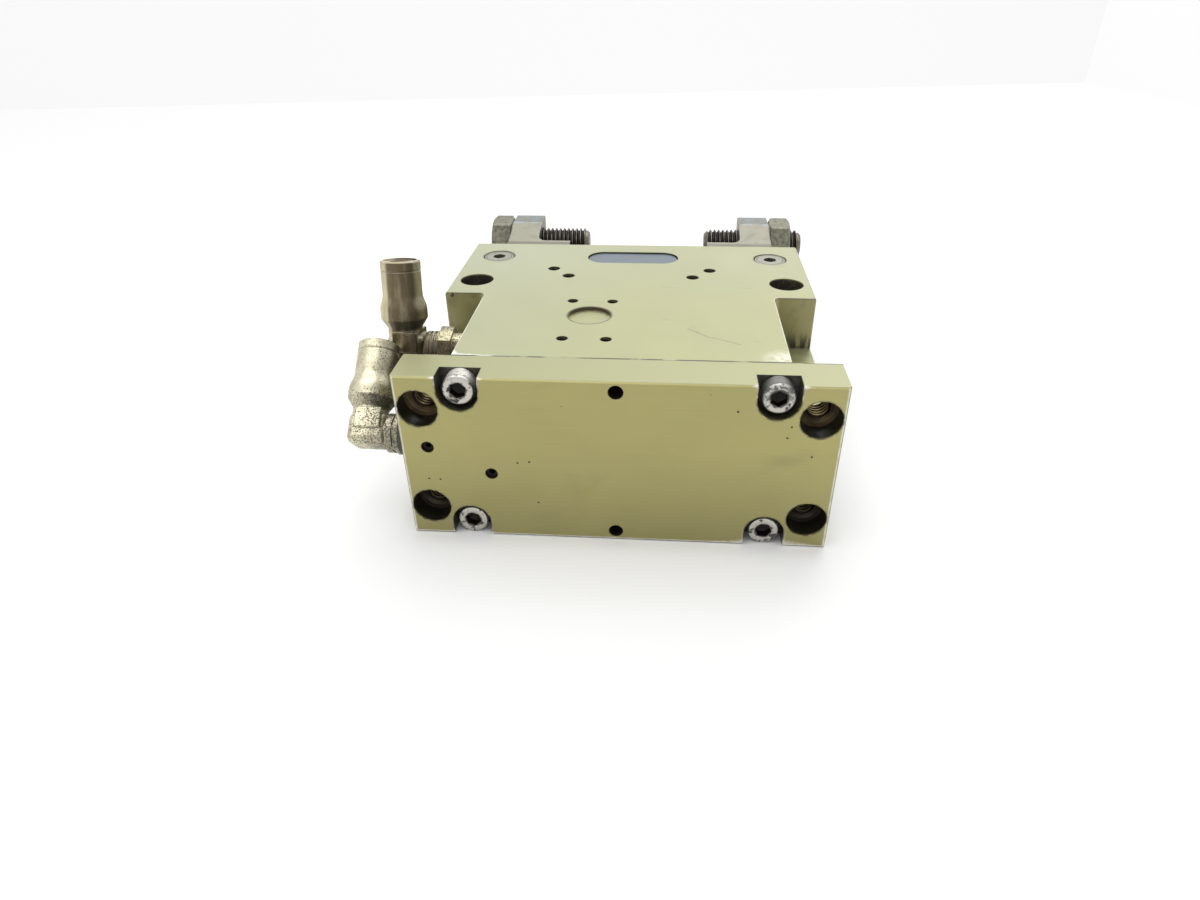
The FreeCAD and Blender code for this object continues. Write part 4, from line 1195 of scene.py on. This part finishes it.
class Paint(Enum):
    """The finishes that more than one piece wears."""

    COVER = AnodisedCover("anodised_cover", tone(168, 161, 102), 0.42, 0.55, 0.4, 0.3, soft=0.3)
    HOUSING = AnodisedHousing("anodised_housing", tone(160, 160, 116), 0.42, 0.55, 0.4, 0.3, soft=0.3)
    FINGER = Milled(
        "milled_finger_steel", tone(132, 130, 117), 0.45, 0.85, grain=0.01, soft=0.4, blue_reflection_height=18.9
    )
    BLOCK = Milled("milled_block_steel", tone(168, 166, 160), 0.40, 0.9, grain=0.01)
    HEAD = ScrewHeads("worn_screw_steel", tone(196, 193, 184), 0.36, 1.0, share=0.34, patch=1.6)
    SOCKET = Finish("oily_socket_steel", tone(38, 34, 29), 0.5, 0.6, mottle=0.4)
    NUT = WornSteel(
        "mottled_nut_steel", tone(134, 133, 116), 0.45, 0.85, soft=0.5,
        black=tone(90, 89, 77), share=0.46, patch=1.3, blur=0.16,
    )
    FRONT_NICKEL = PittedNickel(
        "satin_nickel_front", tone(212, 204, 168), 0.36, 0.9, soft=0.4,
        tarnish_and_reflection=tone(104, 91, 69), crowd=-0.5, housing_reflection=0.5, brown=0.95,
        centre=(-64.5, 34.5, 16.4), lean=12.0,
    )
    FRONT_STEM = replace(FRONT_NICKEL, name="satin_nickel_stem", crowd=-0.1, housing_reflection=0.15)
    REAR_NICKEL = PittedNickel(
        "pitted_nickel_rear", tone(222, 216, 187), 0.32, 0.95, soft=0.4,
        crowd=0.05, housing_reflection=0.46, centre=(-69.2, 6.65, 3.9), lean=47.0,
    )
    COLLET = Finish("bright_collet_nickel", tone(204, 196, 184), 0.32, 0.95, mottle=0.25, grain=0.01)
    RUBBER = Finish("black_rubber", tone(30, 30, 31), 0.6, 0.0, mottle=0.3, grain=0.02)
    GASKET = Finish("grey_gasket_plastic", tone(62, 60, 56), 0.5, 0.0, mottle=0.3, grain=0.01)
    GUIDE = Finish("brown_guide_plastic", tone(120, 92, 62), 0.5, 0.0, mottle=0.25, grain=0.01)
    # Painted reflection: the badge's slate blue stands for the sky that it reflects.
    BADGE = Finish("slate_reflection_badge_plastic", tone(88, 100, 112), 0.38, 0.0, 0.3, 0.2, mottle=0.2, grain=0.012)
    BRONZE = Turned("bearing_bronze", BEARING_BRONZE, 0.38, 1.0, axis=Axis.Z)
    SPRING = Finish("spring_steel", tone(118, 118, 122), 0.35, 1.0, mottle=0.25)
    ZINC = Finish("zinc_plate", tone(190, 192, 192), 0.34, 1.0, mottle=0.2)

    def on(self, *nodes: str) -> None:
        """Put the finish on CAD nodes."""
        dress(self.value, *nodes)


def dress(finish: Finish, *nodes: str) -> None:
    """Put a finish on every material slot of CAD nodes.

    Args:
        finish: The finish.
        nodes: Names of the CAD nodes.
    """
    for name in nodes:
        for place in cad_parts[name].material_slots:
            place.material = finish.material()
        LOG.info("dressed %s in %s", name, finish.name)


def show(name: str, data: bpy.types.ID) -> bpy.types.Object:
    """Make an object of some data and put it in the scene.

    Args:
        name: Name of the object.
        data: Its mesh, camera or lamp.

    Returns:
        The object.
    """
    made = bpy.data.objects.new(name, data)
    bpy.context.scene.collection.objects.link(made)
    return made


@dataclass(frozen=True)
class ThreadForm:
    """The form of a screw thread.

    Attributes:
        crest: Radius of its crests in millimetres.
        root: Radius of its roots; larger than crest for a thread in a hole.
        pitch: Distance from turn to turn.
    """

    crest: float
    root: float
    pitch: float

    def outline(self, low: float, turns: int) -> list[Spot]:
        """Give the outline of a row of turns.

        Args:
            low: Height of the first root.
            turns: Number of turns.

        Returns:
            Radius and height of each point.
        """
        steps = ((0.0, self.root), (0.22, self.root), (0.54, self.crest), (0.68, self.crest))
        rows = [(turn + share, radius) for turn in range(turns) for share, radius in steps]
        rows.append((float(turns), self.root))
        return [(radius, low + share * self.pitch) for share, radius in rows]


class Workpiece:
    """A mesh that is shaped about its own Z axis in millimetres and then set in place.

    Attributes:
        near: Distance below which two points are one.
        lip: How far the mouth of a socket slopes in.
    """

    near = 0.0004
    lip = 0.25

    def __init__(self) -> None:
        """Start with an empty mesh."""
        self.mesh = bmesh.new()

    def line(self, points: Sequence[Spot]) -> Outline:
        """Draw an open outline.

        Args:
            points: Radius and height of each point.

        Returns:
            Its vertices and edges.
        """
        verts = [self.mesh.verts.new((radius, 0.0, height)) for radius, height in points]
        return verts + [self.mesh.edges.new(pair) for pair in zip(verts, verts[1:])]

    def spin(
        self, outline: Outline, steps: int, turns: int = 1, rise: float = 0.0, close: bool = False
    ) -> Outline:
        """Turn an outline about Z.

        Args:
            outline: Its vertices and edges.
            steps: Number of facets in a turn.
            turns: Number of turns.
            rise: How far it rises in a turn.
            close: Whether the last step is joined to the first.

        Returns:
            The vertices and edges of the last step.
        """
        made = bmesh.ops.spin(
            self.mesh,
            geom=outline,
            axis=(0, 0, 1),
            cent=(0, 0, 0),
            dvec=(0, 0, rise / steps),
            angle=math.tau * turns,
            steps=steps * turns,
            use_merge=close,
        )
        return made["geom_last"]

    def turn(self, points: Sequence[Spot], steps: int) -> None:
        """Turn an outline once about Z.

        Args:
            points: Radius and height of each point.
            steps: Number of facets round the axis.
        """
        self.spin(self.line(points), steps, close=True)
        self.merge()

    def thread(self, form: ThreadForm, low: float, high: float, steps: int) -> None:
        """Wind a thread between two heights.

        Args:
            form: The form of the thread.
            low: Height at which it starts.
            high: Height at which it ends.
            steps: Number of facets in a turn.
        """
        turns = math.ceil((high - low) / form.pitch) + 2
        self.spin(self.line(form.outline(low - 1.5 * form.pitch, turns)), steps, rise=form.pitch)
        self.merge()
        self.cut(low, keep_above=True)
        self.cut(high, keep_above=False)

    def coil(self, radius: float, wire: float, length: float, turns: int, steps: int = 40) -> None:
        """Wind a round wire into a coil that starts at height zero.

        Args:
            radius: Radius of the wire's middle line.
            wire: Radius of the wire.
            length: Height between the ends of that line.
            turns: Number of turns.
            steps: Number of facets in a turn.
        """
        start = Matrix.Translation((radius, 0, 0)) @ about("X", 90)
        circle = {"cap_ends": True, "segments": 16, "radius": wire, "matrix": start}
        made = bmesh.ops.create_circle(self.mesh, **circle)["verts"]
        ring = list({edge for vert in made for edge in vert.link_edges})
        end = self.spin(made + ring, steps, turns, length / turns)
        last = [item for item in end if isinstance(item, bmesh.types.BMEdge)]
        bmesh.ops.edgeloop_fill(self.mesh, edges=last)

    def merge(self) -> None:
        """Join vertices that lie on one spot."""
        bmesh.ops.remove_doubles(self.mesh, verts=self.mesh.verts[:], dist=self.near)

    def cut(self, height: float, keep_above: Optional[bool] = None) -> None:
        """Cut the mesh through at a height.

        Args:
            height: Height of the cut.
            keep_above: Which side stays; both where it is not given.
        """
        whole = self.mesh.verts[:] + self.mesh.edges[:] + self.mesh.faces[:]
        plane = {"plane_co": (0, 0, height), "plane_no": (0, 0, 1), "dist": self.near}
        clear = {"clear_inner": keep_above is True, "clear_outer": keep_above is False}
        bmesh.ops.bisect_plane(self.mesh, geom=whole, **plane, **clear)

    def rim(self, height: float) -> list[bmesh.types.BMEdge]:
        """Find the open edges at a height."""
        found = [edge for edge in self.mesh.edges if edge.is_boundary]
        return [edge for edge in found if all(abs(vert.co.z - height) < 0.01 for vert in edge.verts)]

    def taper(self, end: float, way: int, tip: float) -> None:
        """Chamfer an end at 45 degrees.

        Args:
            end: Height of the end.
            way: Plus one for an upper end and minus one for a lower one.
            tip: Radius of the chamfered end.
        """
        for vert in self.mesh.verts:
            radius = vert.co.xy.length
            limit = tip + (end - vert.co.z) * way
            if radius > limit > 0:
                vert.co.xy *= limit / radius

    def close(self, height: float) -> None:
        """Close the mesh at a height with an inset face."""
        made = bmesh.ops.edgeloop_fill(self.mesh, edges=self.rim(height))
        bmesh.ops.inset_region(self.mesh, faces=made["faces"], thickness=0.4, depth=0.0)

    def socket(self, height: float, flats: float, depth: float) -> None:
        """Sink a hexagon socket into an open upper end.

        Args:
            height: Height of the socket's mouth.
            flats: Width across its flats.
            depth: Its depth.
        """
        outer = self.rim(height)
        mouth = Matrix.Translation((0, 0, height - self.lip))
        made = bmesh.ops.create_circle(self.mesh, segments=6, radius=flats / math.sqrt(3), matrix=mouth)
        corners = set(made["verts"])
        sides = [edge for edge in self.mesh.edges if all(vert in corners for vert in edge.verts)]
        parts = bmesh.ops.subdivide_edges(self.mesh, edges=sides, cuts=5)
        sides = [item for item in parts["geom"] if isinstance(item, bmesh.types.BMEdge)]
        before = set(self.mesh.faces)
        bmesh.ops.bridge_loops(self.mesh, edges=outer + sides)
        pulled = bmesh.ops.extrude_edge_only(self.mesh, edges=sides)["geom"]
        verts = [item for item in pulled if isinstance(item, bmesh.types.BMVert)]
        bmesh.ops.translate(self.mesh, verts=verts, vec=(0, 0, self.lip - depth))
        floor_edges = [item for item in pulled if isinstance(item, bmesh.types.BMEdge)]
        floor = bmesh.ops.edgeloop_fill(self.mesh, edges=floor_edges)["faces"]
        tip = bmesh.ops.poke(self.mesh, faces=floor)["verts"]
        bmesh.ops.translate(self.mesh, verts=tip, vec=(0, 0, -0.25 * flats))
        for face in self.mesh.faces:
            if face not in before and face.calc_center_median().z < height - 0.2:
                face.material_index = 1

    def outward(self) -> None:
        """Point every face outwards."""
        bmesh.ops.recalc_face_normals(self.mesh, faces=self.mesh.faces[:])

    def wall(self, thickness: float) -> None:
        """Give an open lining its wall, away from the axis.

        Args:
            thickness: Thickness of the wall.
        """
        self.outward()
        faces = self.mesh.faces
        facing = [face.normal.xy.dot(face.calc_center_median().xy) * face.calc_area() for face in faces]
        if sum(facing) > 0:
            bmesh.ops.reverse_faces(self.mesh, faces=self.mesh.faces[:])
        bmesh.ops.solidify(self.mesh, geom=self.mesh.faces[:], thickness=-thickness)
        self.outward()

    def add(self, other: "Workpiece", place: Matrix) -> None:
        """Take in another workpiece.

        Args:
            other: The other workpiece, which is used up.
            place: Where it goes, in millimetres.
        """
        copy = bpy.data.meshes.new("copy")
        other.mesh.to_mesh(copy)
        other.mesh.free()
        copy.transform(place)
        self.mesh.from_mesh(copy)
        bpy.data.meshes.remove(copy)

    def deliver(
        self, name: str, body: str, slot: str, finishes: Sequence[Finish], *nodes: str
    ) -> bpy.types.Object:
        """Make the mesh a piece of the gripper.

        Args:
            name: Name of the piece.
            body: CAD body that it rides on.
            slot: Material slot of the record; not used.
            finishes: Finishes by the number on its faces.
            nodes: CAD nodes that it stands for.

        Returns:
            The piece.
        """
        bmesh.ops.scale(self.mesh, vec=(MM, MM, MM), verts=self.mesh.verts[:])
        data = bpy.data.meshes.new(name)
        self.mesh.to_mesh(data)
        self.mesh.free()
        data.shade_smooth()
        data.set_sharp_from_angle(angle=math.radians(32))
        for finish in finishes:
            data.materials.append(finish.material())
        piece = show(name, data)
        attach(piece, body)
        if nodes:
            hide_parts(*nodes)
        LOG.info("made %s: %d faces on %s", name, len(data.polygons), body)
        return piece


@dataclass
class CoverScrews:
    """The four socket screws that hold the rear cover.

    Attributes:
        spread: Their distance from the middle in X and Z, in millimetres.
        face: Height of the heads' faces along Y.
        head: Radius of a head.
        head_length: Length of a head.
        shank: Radius of the shank.
        flats: Width of the hexagon socket.
        depth: Depth of the socket.
        pitch: Pitch of the thread.
        turned: How far each screw is turned, in degrees.
    """

    spread: Spot = SCREWS
    face: float = 1.0
    head: float = 4.25
    head_length: float = 5.0
    shank: float = 2.45
    flats: float = 4.0
    depth: float = 2.6
    pitch: float = 0.8
    turned: tuple[float, ...] = (12.0, 47.0, 25.0, 3.0)

    def screw(self, length: float) -> Workpiece:
        """Model one screw with its face at height zero.

        Args:
            length: Its whole length.

        Returns:
            The screw.
        """
        head, shank, foot = self.head, self.shank, -self.head_length
        piece = Workpiece()
        outline = (
            (2.62, 0.0), (head - 0.75, 0.0), (head - 0.42, -0.07), (head - 0.17, -0.22),
            (head - 0.04, -0.44), (head, -0.72), (head, foot + 0.25), (head - 0.18, foot),
            (shank + 0.35, foot), (shank + 0.1, foot - 0.1), (shank, foot - 0.35),
            (shank, foot - 2.2), (shank - 0.5, foot - 2.6), (0.0, foot - 2.6),
        )
        piece.turn(outline, 64)
        piece.socket(0.0, self.flats, self.depth)
        piece.outward()
        stem = Workpiece()
        stem.thread(ThreadForm(shank, shank - 0.45, self.pitch), -length, foot - 1.8, 24)
        stem.taper(-length, -1, shank - 0.6)
        stem.close(-length)
        stem.close(foot - 1.8)
        stem.outward()
        piece.add(stem, Matrix.Identity(4))
        return piece

    def build(self) -> None:
        """Set the four screws in the cover."""
        low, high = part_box("cover_screws")
        length = (high.y - low.y) / MM - 0.05
        heads = Workpiece()
        spots = [(x, z) for x in (-1, 1) for z in (-1, 1)]
        for (x, z), angle in zip(spots, self.turned):
            place = Matrix.Translation((x * self.spread[0], self.face, z * self.spread[1]))
            heads.add(self.screw(length), place @ about("X", 90) @ about("Z", angle))
        finishes = (Paint.HEAD.value, Paint.SOCKET.value)
        heads.deliver("cover_screw_set", "housing", "zinc_steel", finishes, "cover_screws")


@dataclass
class GripScrews:
    """The threaded grip screws in the finger tips.

    Attributes:
        form: Their thread.
        tip: Radius of the chamfered ends in millimetres.
        facet: Distance between the cuts that keep a chamfer even.
        bright: Length of the bright ends.
        flats: Width of the hexagon socket.
        depth: Depth of the socket.
    """

    form: ThreadForm = ThreadForm(5.98, 4.95, 1.75)
    tip: float = 4.3
    facet: float = 0.4
    bright: float = 1.7
    flats: float = 6.0
    depth: float = 6.0

    def build(self) -> None:
        """Model the screw of each finger with its socket at the outer end."""
        for hand in Hand:
            node = f"{hand.word}_grip_screw"
            low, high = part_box(node)
            length = (high.x - low.x) / MM
            spot = middle(node)
            bar = Workpiece()
            bar.thread(self.form, 0.0, length, 48)
            rounds = [self.facet * count for count in range(1, 5)]
            for height in (*rounds, *(length - depth for depth in reversed(rounds))):
                bar.cut(height)
            bar.taper(0.0, -1, self.tip)
            bar.taper(length, 1, self.tip)
            bar.close(0.0)
            bar.socket(length, self.flats, self.depth)
            bar.outward()
            inner = spot[0] - hand.value * length / 2
            placed = Workpiece()
            placed.add(bar, Matrix.Translation((inner, *spot[1:])) @ about("Y", 90 * hand.value))
            finish = StainedThread(
                f"stained_thread_{hand.word}", tone(53, 51, 46), 0.48, 0.85, mottle=0.3,
                axis=Axis.X, centre=spot, crest=self.form.crest, root=self.form.root,
                ends=(low.x / MM + self.bright, high.x / MM - self.bright),
            )
            name, body = f"{hand.word}_grip_thread", f"{hand.word}_finger"
            placed.deliver(name, body, "black_steel", (finish, Paint.SOCKET.value), node)


@dataclass
class HoleThreads:
    """The threads in the mounting, tapped and finger holes, as thin linings.

    Attributes:
        mount: Thread of the mounting holes.
        tap: Thread of the taps.
        fine: Thread of the small taps.
        grip: Thread of the lower finger holes.
        wall: Thickness of a lining in millimetres.
        rear_span: Where the threads of the cover's mounting holes start and end along Y.
        side_span: Where those of the side bolt holes start and end along Z.
        tap_span: Where those of the taps start and end along Z.
        sensor_span: Where those of the small taps start and end along Z.
        finger: Lower finger hole in Y and Z.
        finger_span: Where its thread starts and ends along X.
    """

    mount: ThreadForm = ThreadForm(2.72, 3.28, 1.25)
    tap: ThreadForm = ThreadForm(1.78, 1.96, 0.8)
    fine: ThreadForm = ThreadForm(1.38, 1.56, 0.7)
    grip: ThreadForm = ThreadForm(4.6, 4.98, 1.75)
    wall: float = 0.08
    rear_span: Spot = (7.45, 13.2)
    side_span: Spot = (-22.2, 17.8)
    tap_span: Spot = (18.2, 24.6)
    sensor_span: Spot = (21.2, 24.6)
    finger: Spot = (158.0, -9.75)
    finger_span: Spot = (41.6, 53.1)

    def line(self, form: ThreadForm, span: Spot, steps: int, places: Sequence[Matrix]) -> Workpiece:
        """Line holes that are equal.

        Args:
            form: Their thread.
            span: Where it starts and ends.
            steps: Number of facets in a turn.
            places: Where each thread starts, with Z along it.

        Returns:
            The linings.
        """
        whole = Workpiece()
        for place in places:
            lining = Workpiece()
            lining.thread(form, 0.0, span[1] - span[0], steps)
            lining.wall(self.wall)
            whole.add(lining, place)
        return whole

    def oiled(self, place: str, axis: Axis, centre: Point) -> StainedThread:
        """Give the finish of a set of mounting threads.

        Args:
            place: Where the set is.
            axis: The line that its threads lie along.
            centre: A point on the axis of one of them in millimetres.

        Returns:
            The finish.
        """
        return StainedThread(
            f"oiled_{place}_threads", tone(50, 41, 29), 0.42, 0.8, mottle=0.35,
            axis=axis, centre=centre, mirrored=True, crest=self.mount.crest, root=self.mount.root,
            rubbed=tone(176, 156, 112), painted_low_shade=0.65,
        )

    def build(self) -> None:
        """Line the holes of the housing, the cover and the fingers."""
        at = Matrix.Translation
        sides = (-1, 1)
        rear_spots = [(x * SINKS[0], self.rear_span[0], z * SINKS[1]) for x in sides for z in sides]
        side_spots = [(x * BOLTS[0], BOLTS[1], self.side_span[0]) for x in sides]
        tap_spots = [(x * tap[0], tap[1], self.tap_span[0]) for x in sides for tap in TAPS]
        sensor_spots = [(*tap, self.sensor_span[0]) for tap in SENSOR_TAPS]
        rear_places = [at(spot) @ about("X", -90) for spot in rear_spots]
        rear = self.line(self.mount, self.rear_span, 32, rear_places)
        side = self.line(self.mount, self.side_span, 32, [at(spot) for spot in side_spots])
        taps = self.line(self.tap, self.tap_span, 24, [at(spot) for spot in tap_spots])
        small = self.line(self.fine, self.sensor_span, 24, [at(spot) for spot in sensor_spots])
        taps.add(small, Matrix.Identity(4))
        dark = Finish("dark_tap_thread", tone(52, 46, 34), 0.5, 0.7, mottle=0.4, grain=0.01)
        rear_skin = self.oiled("rear", Axis.Y, (SINKS[0], 0.0, SINKS[1]))
        side_skin = self.oiled("side", Axis.Z, (*BOLTS, 0.0))
        rear.deliver("rear_mount_threads", "housing", "anodised_aluminium", (rear_skin,))
        side.deliver("side_bolt_threads", "housing", "anodised_aluminium", (side_skin,))
        taps.deliver("upper_tap_threads", "housing", "anodised_aluminium", (dark,))
        for hand in Hand:
            place = at((hand.value * self.finger_span[0], *self.finger)) @ about("Y", 90 * hand.value)
            hole = self.line(self.grip, self.finger_span, 40, [place])
            hole.deliver(f"{hand.word}_finger_thread", f"{hand.word}_finger", "milled_steel", (dark,))


@dataclass
class Body:
    """The housing, its cover and what is set into them.

    Attributes:
        pin_colour: Colour of the pivot pins.
    """

    pin_colour: Colour = tone(162, 162, 148)

    def build(self) -> None:
        """Dress the housing group."""
        Paint.COVER.on("rear_cover")
        Paint.HOUSING.on("housing")
        Paint.BADGE.on("badge")
        Paint.SOCKET.on("port_plugs")
        Paint.RUBBER.on("cover_seal", "rod_seal")
        Paint.BRONZE.on("thrust_washers")
        Paint.SPRING.on("closing_spring")
        dress(Turned("turned_rod_bush", BEARING_BRONZE, 0.38, 1.0, axis=Axis.Y), "rod_bush")
        for hand in Hand:
            node = f"{hand.word}_pivot_pin"
            finish = PinFace(f"ground_{node}", self.pin_colour, 0.34, 1.0, centre=middle(node), rings=0.25)
            dress(finish, node)


@dataclass
class InnerWorks:
    """The piston, its rod and the drive block.

    Attributes:
        piston_colour: Colour of the turned piston.
        wire: Radius of the spring's wire in millimetres.
        turns: Number of its turns.
        seat: Where it sits in the cover along Y; not used.
        travel: How far the piston draws back; not used.
    """

    piston_colour: Colour = tone(206, 206, 204)
    wire: float = 1.6
    turns: int = 5
    seat: float = 6.0
    travel: float = 6.0

    def spring(self) -> None:
        """Wind the closing spring."""
        low, high = (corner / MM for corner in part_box("closing_spring"))
        wound = Workpiece()
        wound.coil(high.x - self.wire, self.wire, high.y - low.y - 2 * self.wire, self.turns)
        wound.outward()
        placed = Workpiece()
        placed.add(wound, Matrix.Translation((0, low.y + self.wire, 0)) @ about("X", -90))
        piece = placed.deliver(
            "closing_spring_coil", "housing", "spring_steel", (Paint.SPRING.value,), "closing_spring"
        )
        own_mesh(piece)

    def build(self) -> None:
        """Wind the spring and dress the moving inner pieces."""
        self.spring()
        dress(Turned("turned_piston", self.piston_colour, 0.32, 1.0, axis=Axis.Y), "piston")
        Paint.RUBBER.on("piston_seal")
        Paint.GUIDE.on("piston_guide_ring")
        Paint.ZINC.on("piston_screw")
        Paint.BLOCK.on("drive_block")


@dataclass
class Fingers:
    """The two finger levers with their bushes, pins and nuts.

    Attributes:
        pin_colour: Colour of the drive pins.
    """

    pin_colour: Colour = tone(198, 198, 196)

    def build(self) -> None:
        """Dress both fingers."""
        for hand in Hand:
            Paint.FINGER.on(f"{hand.word}_finger")
            Paint.NUT.on(f"{hand.word}_jam_nut")
            bush, pin = f"{hand.word}_pivot_bushes", f"{hand.word}_drive_pin"
            bronze = Turned(f"turned_{bush}", BEARING_BRONZE, 0.38, 1.0, centre=middle(bush))
            ground = Turned(f"ground_{pin}", self.pin_colour, 0.25, 1.0, centre=middle(pin), rings=0.2)
            dress(bronze, bush)
            dress(ground, pin)


@dataclass
class Fittings:
    """The two swivel elbows on the left side."""

    def build(self) -> None:
        """Dress both fittings."""
        Paint.REAR_NICKEL.on("rear_elbow", "rear_stem")
        Paint.FRONT_NICKEL.on("front_elbow")
        Paint.FRONT_STEM.on("front_stem")
        Paint.COLLET.on("rear_collet", "front_collet")
        Paint.RUBBER.on("rear_tube_seal", "front_tube_seal")
        Paint.GASKET.on("rear_gasket", "front_gasket")


@dataclass
class Studio:
    """The camera, lamps, floor and backdrop.

    Attributes:
        eye: Place of the camera in millimetres.
        ahead: Direction in which it looks.
        across: Its direction to the right.
        lens: Focal length on a 36 mm sensor.
        floor: Height of the floor.
        rest: Half the width and half the length of the housing's footprint on it.
        walls: Feet of the backdrop's corners in X and Y, from left to right.
        fill: Strength of the light from all round.
        white: Strength of that light where it is seen.
        glow: Brightness of the floor where it is seen.
        wall_glow: Brightness of the two walls.
        aim: Point that the lamps face in millimetres.
        lamps: Name, place and width in metres, and power in watts of each lamp.
    """

    eye: Point = (11.6, -174.6, 116.1)
    ahead: Point = (-0.0758, 0.8408, -0.5360)
    across: Point = (0.9966, 0.0813, -0.0135)
    lens: float = 23.63
    floor: float = -25.05
    rest: Spot = (58.0, 54.1)
    walls: tuple[Spot, ...] = ((-1962.0, 519.0), (502.0, 897.0), (622.0, 387.0))
    fill: float = 0.62
    white: float = 0.96
    glow: float = 0.98
    wall_glow: Spot = (0.955, 0.975)
    aim: Point = (0.0, 70.0, 0.0)
    lamps: tuple[tuple[str, Point, float, float], ...] = (
        ("overhead", (-0.25, 0.05, 1.0), 1.1, 7.0),
        ("behind", (0.1, 0.72, 0.62), 0.9, 5.0),
    )

    def camera(self) -> None:
        """Set up the camera."""
        data = bpy.data.cameras.new("camera")
        data.lens = self.lens
        data.sensor_width = 36.0
        data.clip_start = 0.01
        back = -Vector(self.ahead).normalized()
        right = Vector(self.across)
        right = (right - back * right.dot(back)).normalized()
        turn = Matrix((right, back.cross(right), back)).transposed().to_4x4()
        made = show("camera", data)
        made.matrix_world = Matrix.Translation(Vector(self.eye) * MM) @ turn
        bpy.context.scene.camera = made

    def seen(self, graph: Graph) -> Wire:
        """Give one for rays from the camera, from gloss and through glass."""
        path = graph.node("LightPath", output="Is Camera Ray")
        return path.most(path.output("Is Glossy Ray")).most(path.output("Is Transmission Ray"))

    def world(self) -> None:
        """Light the scene evenly from all round, white where it is seen."""
        world = bpy.data.worlds.new("studio")
        world.use_nodes = True
        bpy.context.scene.world = world
        graph = Graph(world.node_tree)
        strength = self.seen(graph) * (self.white - self.fill) + self.fill
        light = graph.node("Background", None, {"Color": (1, 1, 1, 1), "Strength": strength})
        graph.node("OutputWorld", None, {"Surface": light})

    def sheet(self, name: str, size: float, place: Matrix, glow: float, near: float) -> bpy.types.Object:
        """Lay a pale sheet.

        Args:
            name: Name of the sheet.
            size: Half its width in metres.
            place: Where it lies.
            glow: Brightness where it is seen.
            near: How much of that brightness is its own beside the gripper; far off it is nearly all.

        Returns:
            The sheet.
        """
        mesh = bmesh.new()
        bmesh.ops.create_grid(mesh, x_segments=8, y_segments=8, size=size, matrix=place)
        data = bpy.data.meshes.new(name)
        mesh.to_mesh(data)
        mesh.free()
        made = bpy.data.materials.new(name)
        made.use_nodes = True
        graph = Graph(made.node_tree)
        matt = graph.node("BsdfDiffuse", None, {"Color": (0.9, 0.9, 0.9, 1)})
        bright = graph.node("Emission", None, {"Color": (1, 1, 1, 1), "Strength": glow})
        x, y = graph.ways()[:2]
        away = (abs(x) - self.rest[0]).most(abs(y - self.rest[1]) - self.rest[1])
        share = self.seen(graph) * (away.ease(0.0, 8.0) * near + away.ease(30.0, 270.0) * (0.9 - near))
        mixed = graph.node("MixShader", None, {0: share, 1: matt, 2: bright})
        graph.node("OutputMaterial", None, {"Surface": mixed})
        data.materials.append(made)
        item = show(name, data)
        return item

    def backdrop(self) -> None:
        """Lay the floor and stand the backdrop behind it."""
        self.sheet("floor", 4.0, Matrix.Translation((0, 0, self.floor * MM)), self.glow, 0.25)
        feet = [Vector((x, y, self.floor)) * MM for x, y in self.walls]
        for start, end, glow in zip(feet, feet[1:], self.wall_glow):
            run, rise = (end - start).normalized(), Vector((0, 0, 1))
            stand = Matrix((run, rise, run.cross(rise))).transposed().to_4x4()
            narrow = Matrix.Diagonal(((end - start).length / 2, 1, 1, 1))
            place = Matrix.Translation((start + end) / 2 + rise) @ stand @ narrow
            wall = self.sheet("wall", 1.0, place, glow, 1.0)
            wall.visible_diffuse = False
            wall.visible_shadow = False

    def lamp(self, name: str, place: Point, size: float, power: float) -> None:
        """Hang a soft square lamp that faces the gripper.

        Args:
            name: Name of the lamp.
            place: Where it hangs, in metres.
            size: Its width in metres.
            power: Its power in watts.
        """
        data = bpy.data.lights.new(name, "AREA")
        data.size = size
        data.energy = power
        away = Vector(self.aim) * MM - Vector(place)
        turn = away.to_track_quat("-Z", "Y").to_matrix().to_4x4()
        show(name, data).matrix_world = Matrix.Translation(place) @ turn

    def build(self) -> None:
        """Set up the studio."""
        self.camera()
        self.world()
        self.backdrop()
        for lamp in self.lamps:
            self.lamp(*lamp)


def main() -> None:
    """Build the looks."""
    logging.basicConfig(level=logging.INFO, format="%(name)s: %(message)s")
    bpy.context.scene.view_settings.view_transform = "Standard"
    for kind in (Body, InnerWorks, Fingers, Fittings, CoverScrews, GripScrews, HoleThreads, Studio):
        kind().build()
        LOG.info("finished %s", kind.__name__)


if __name__ == "__main__":
    main()
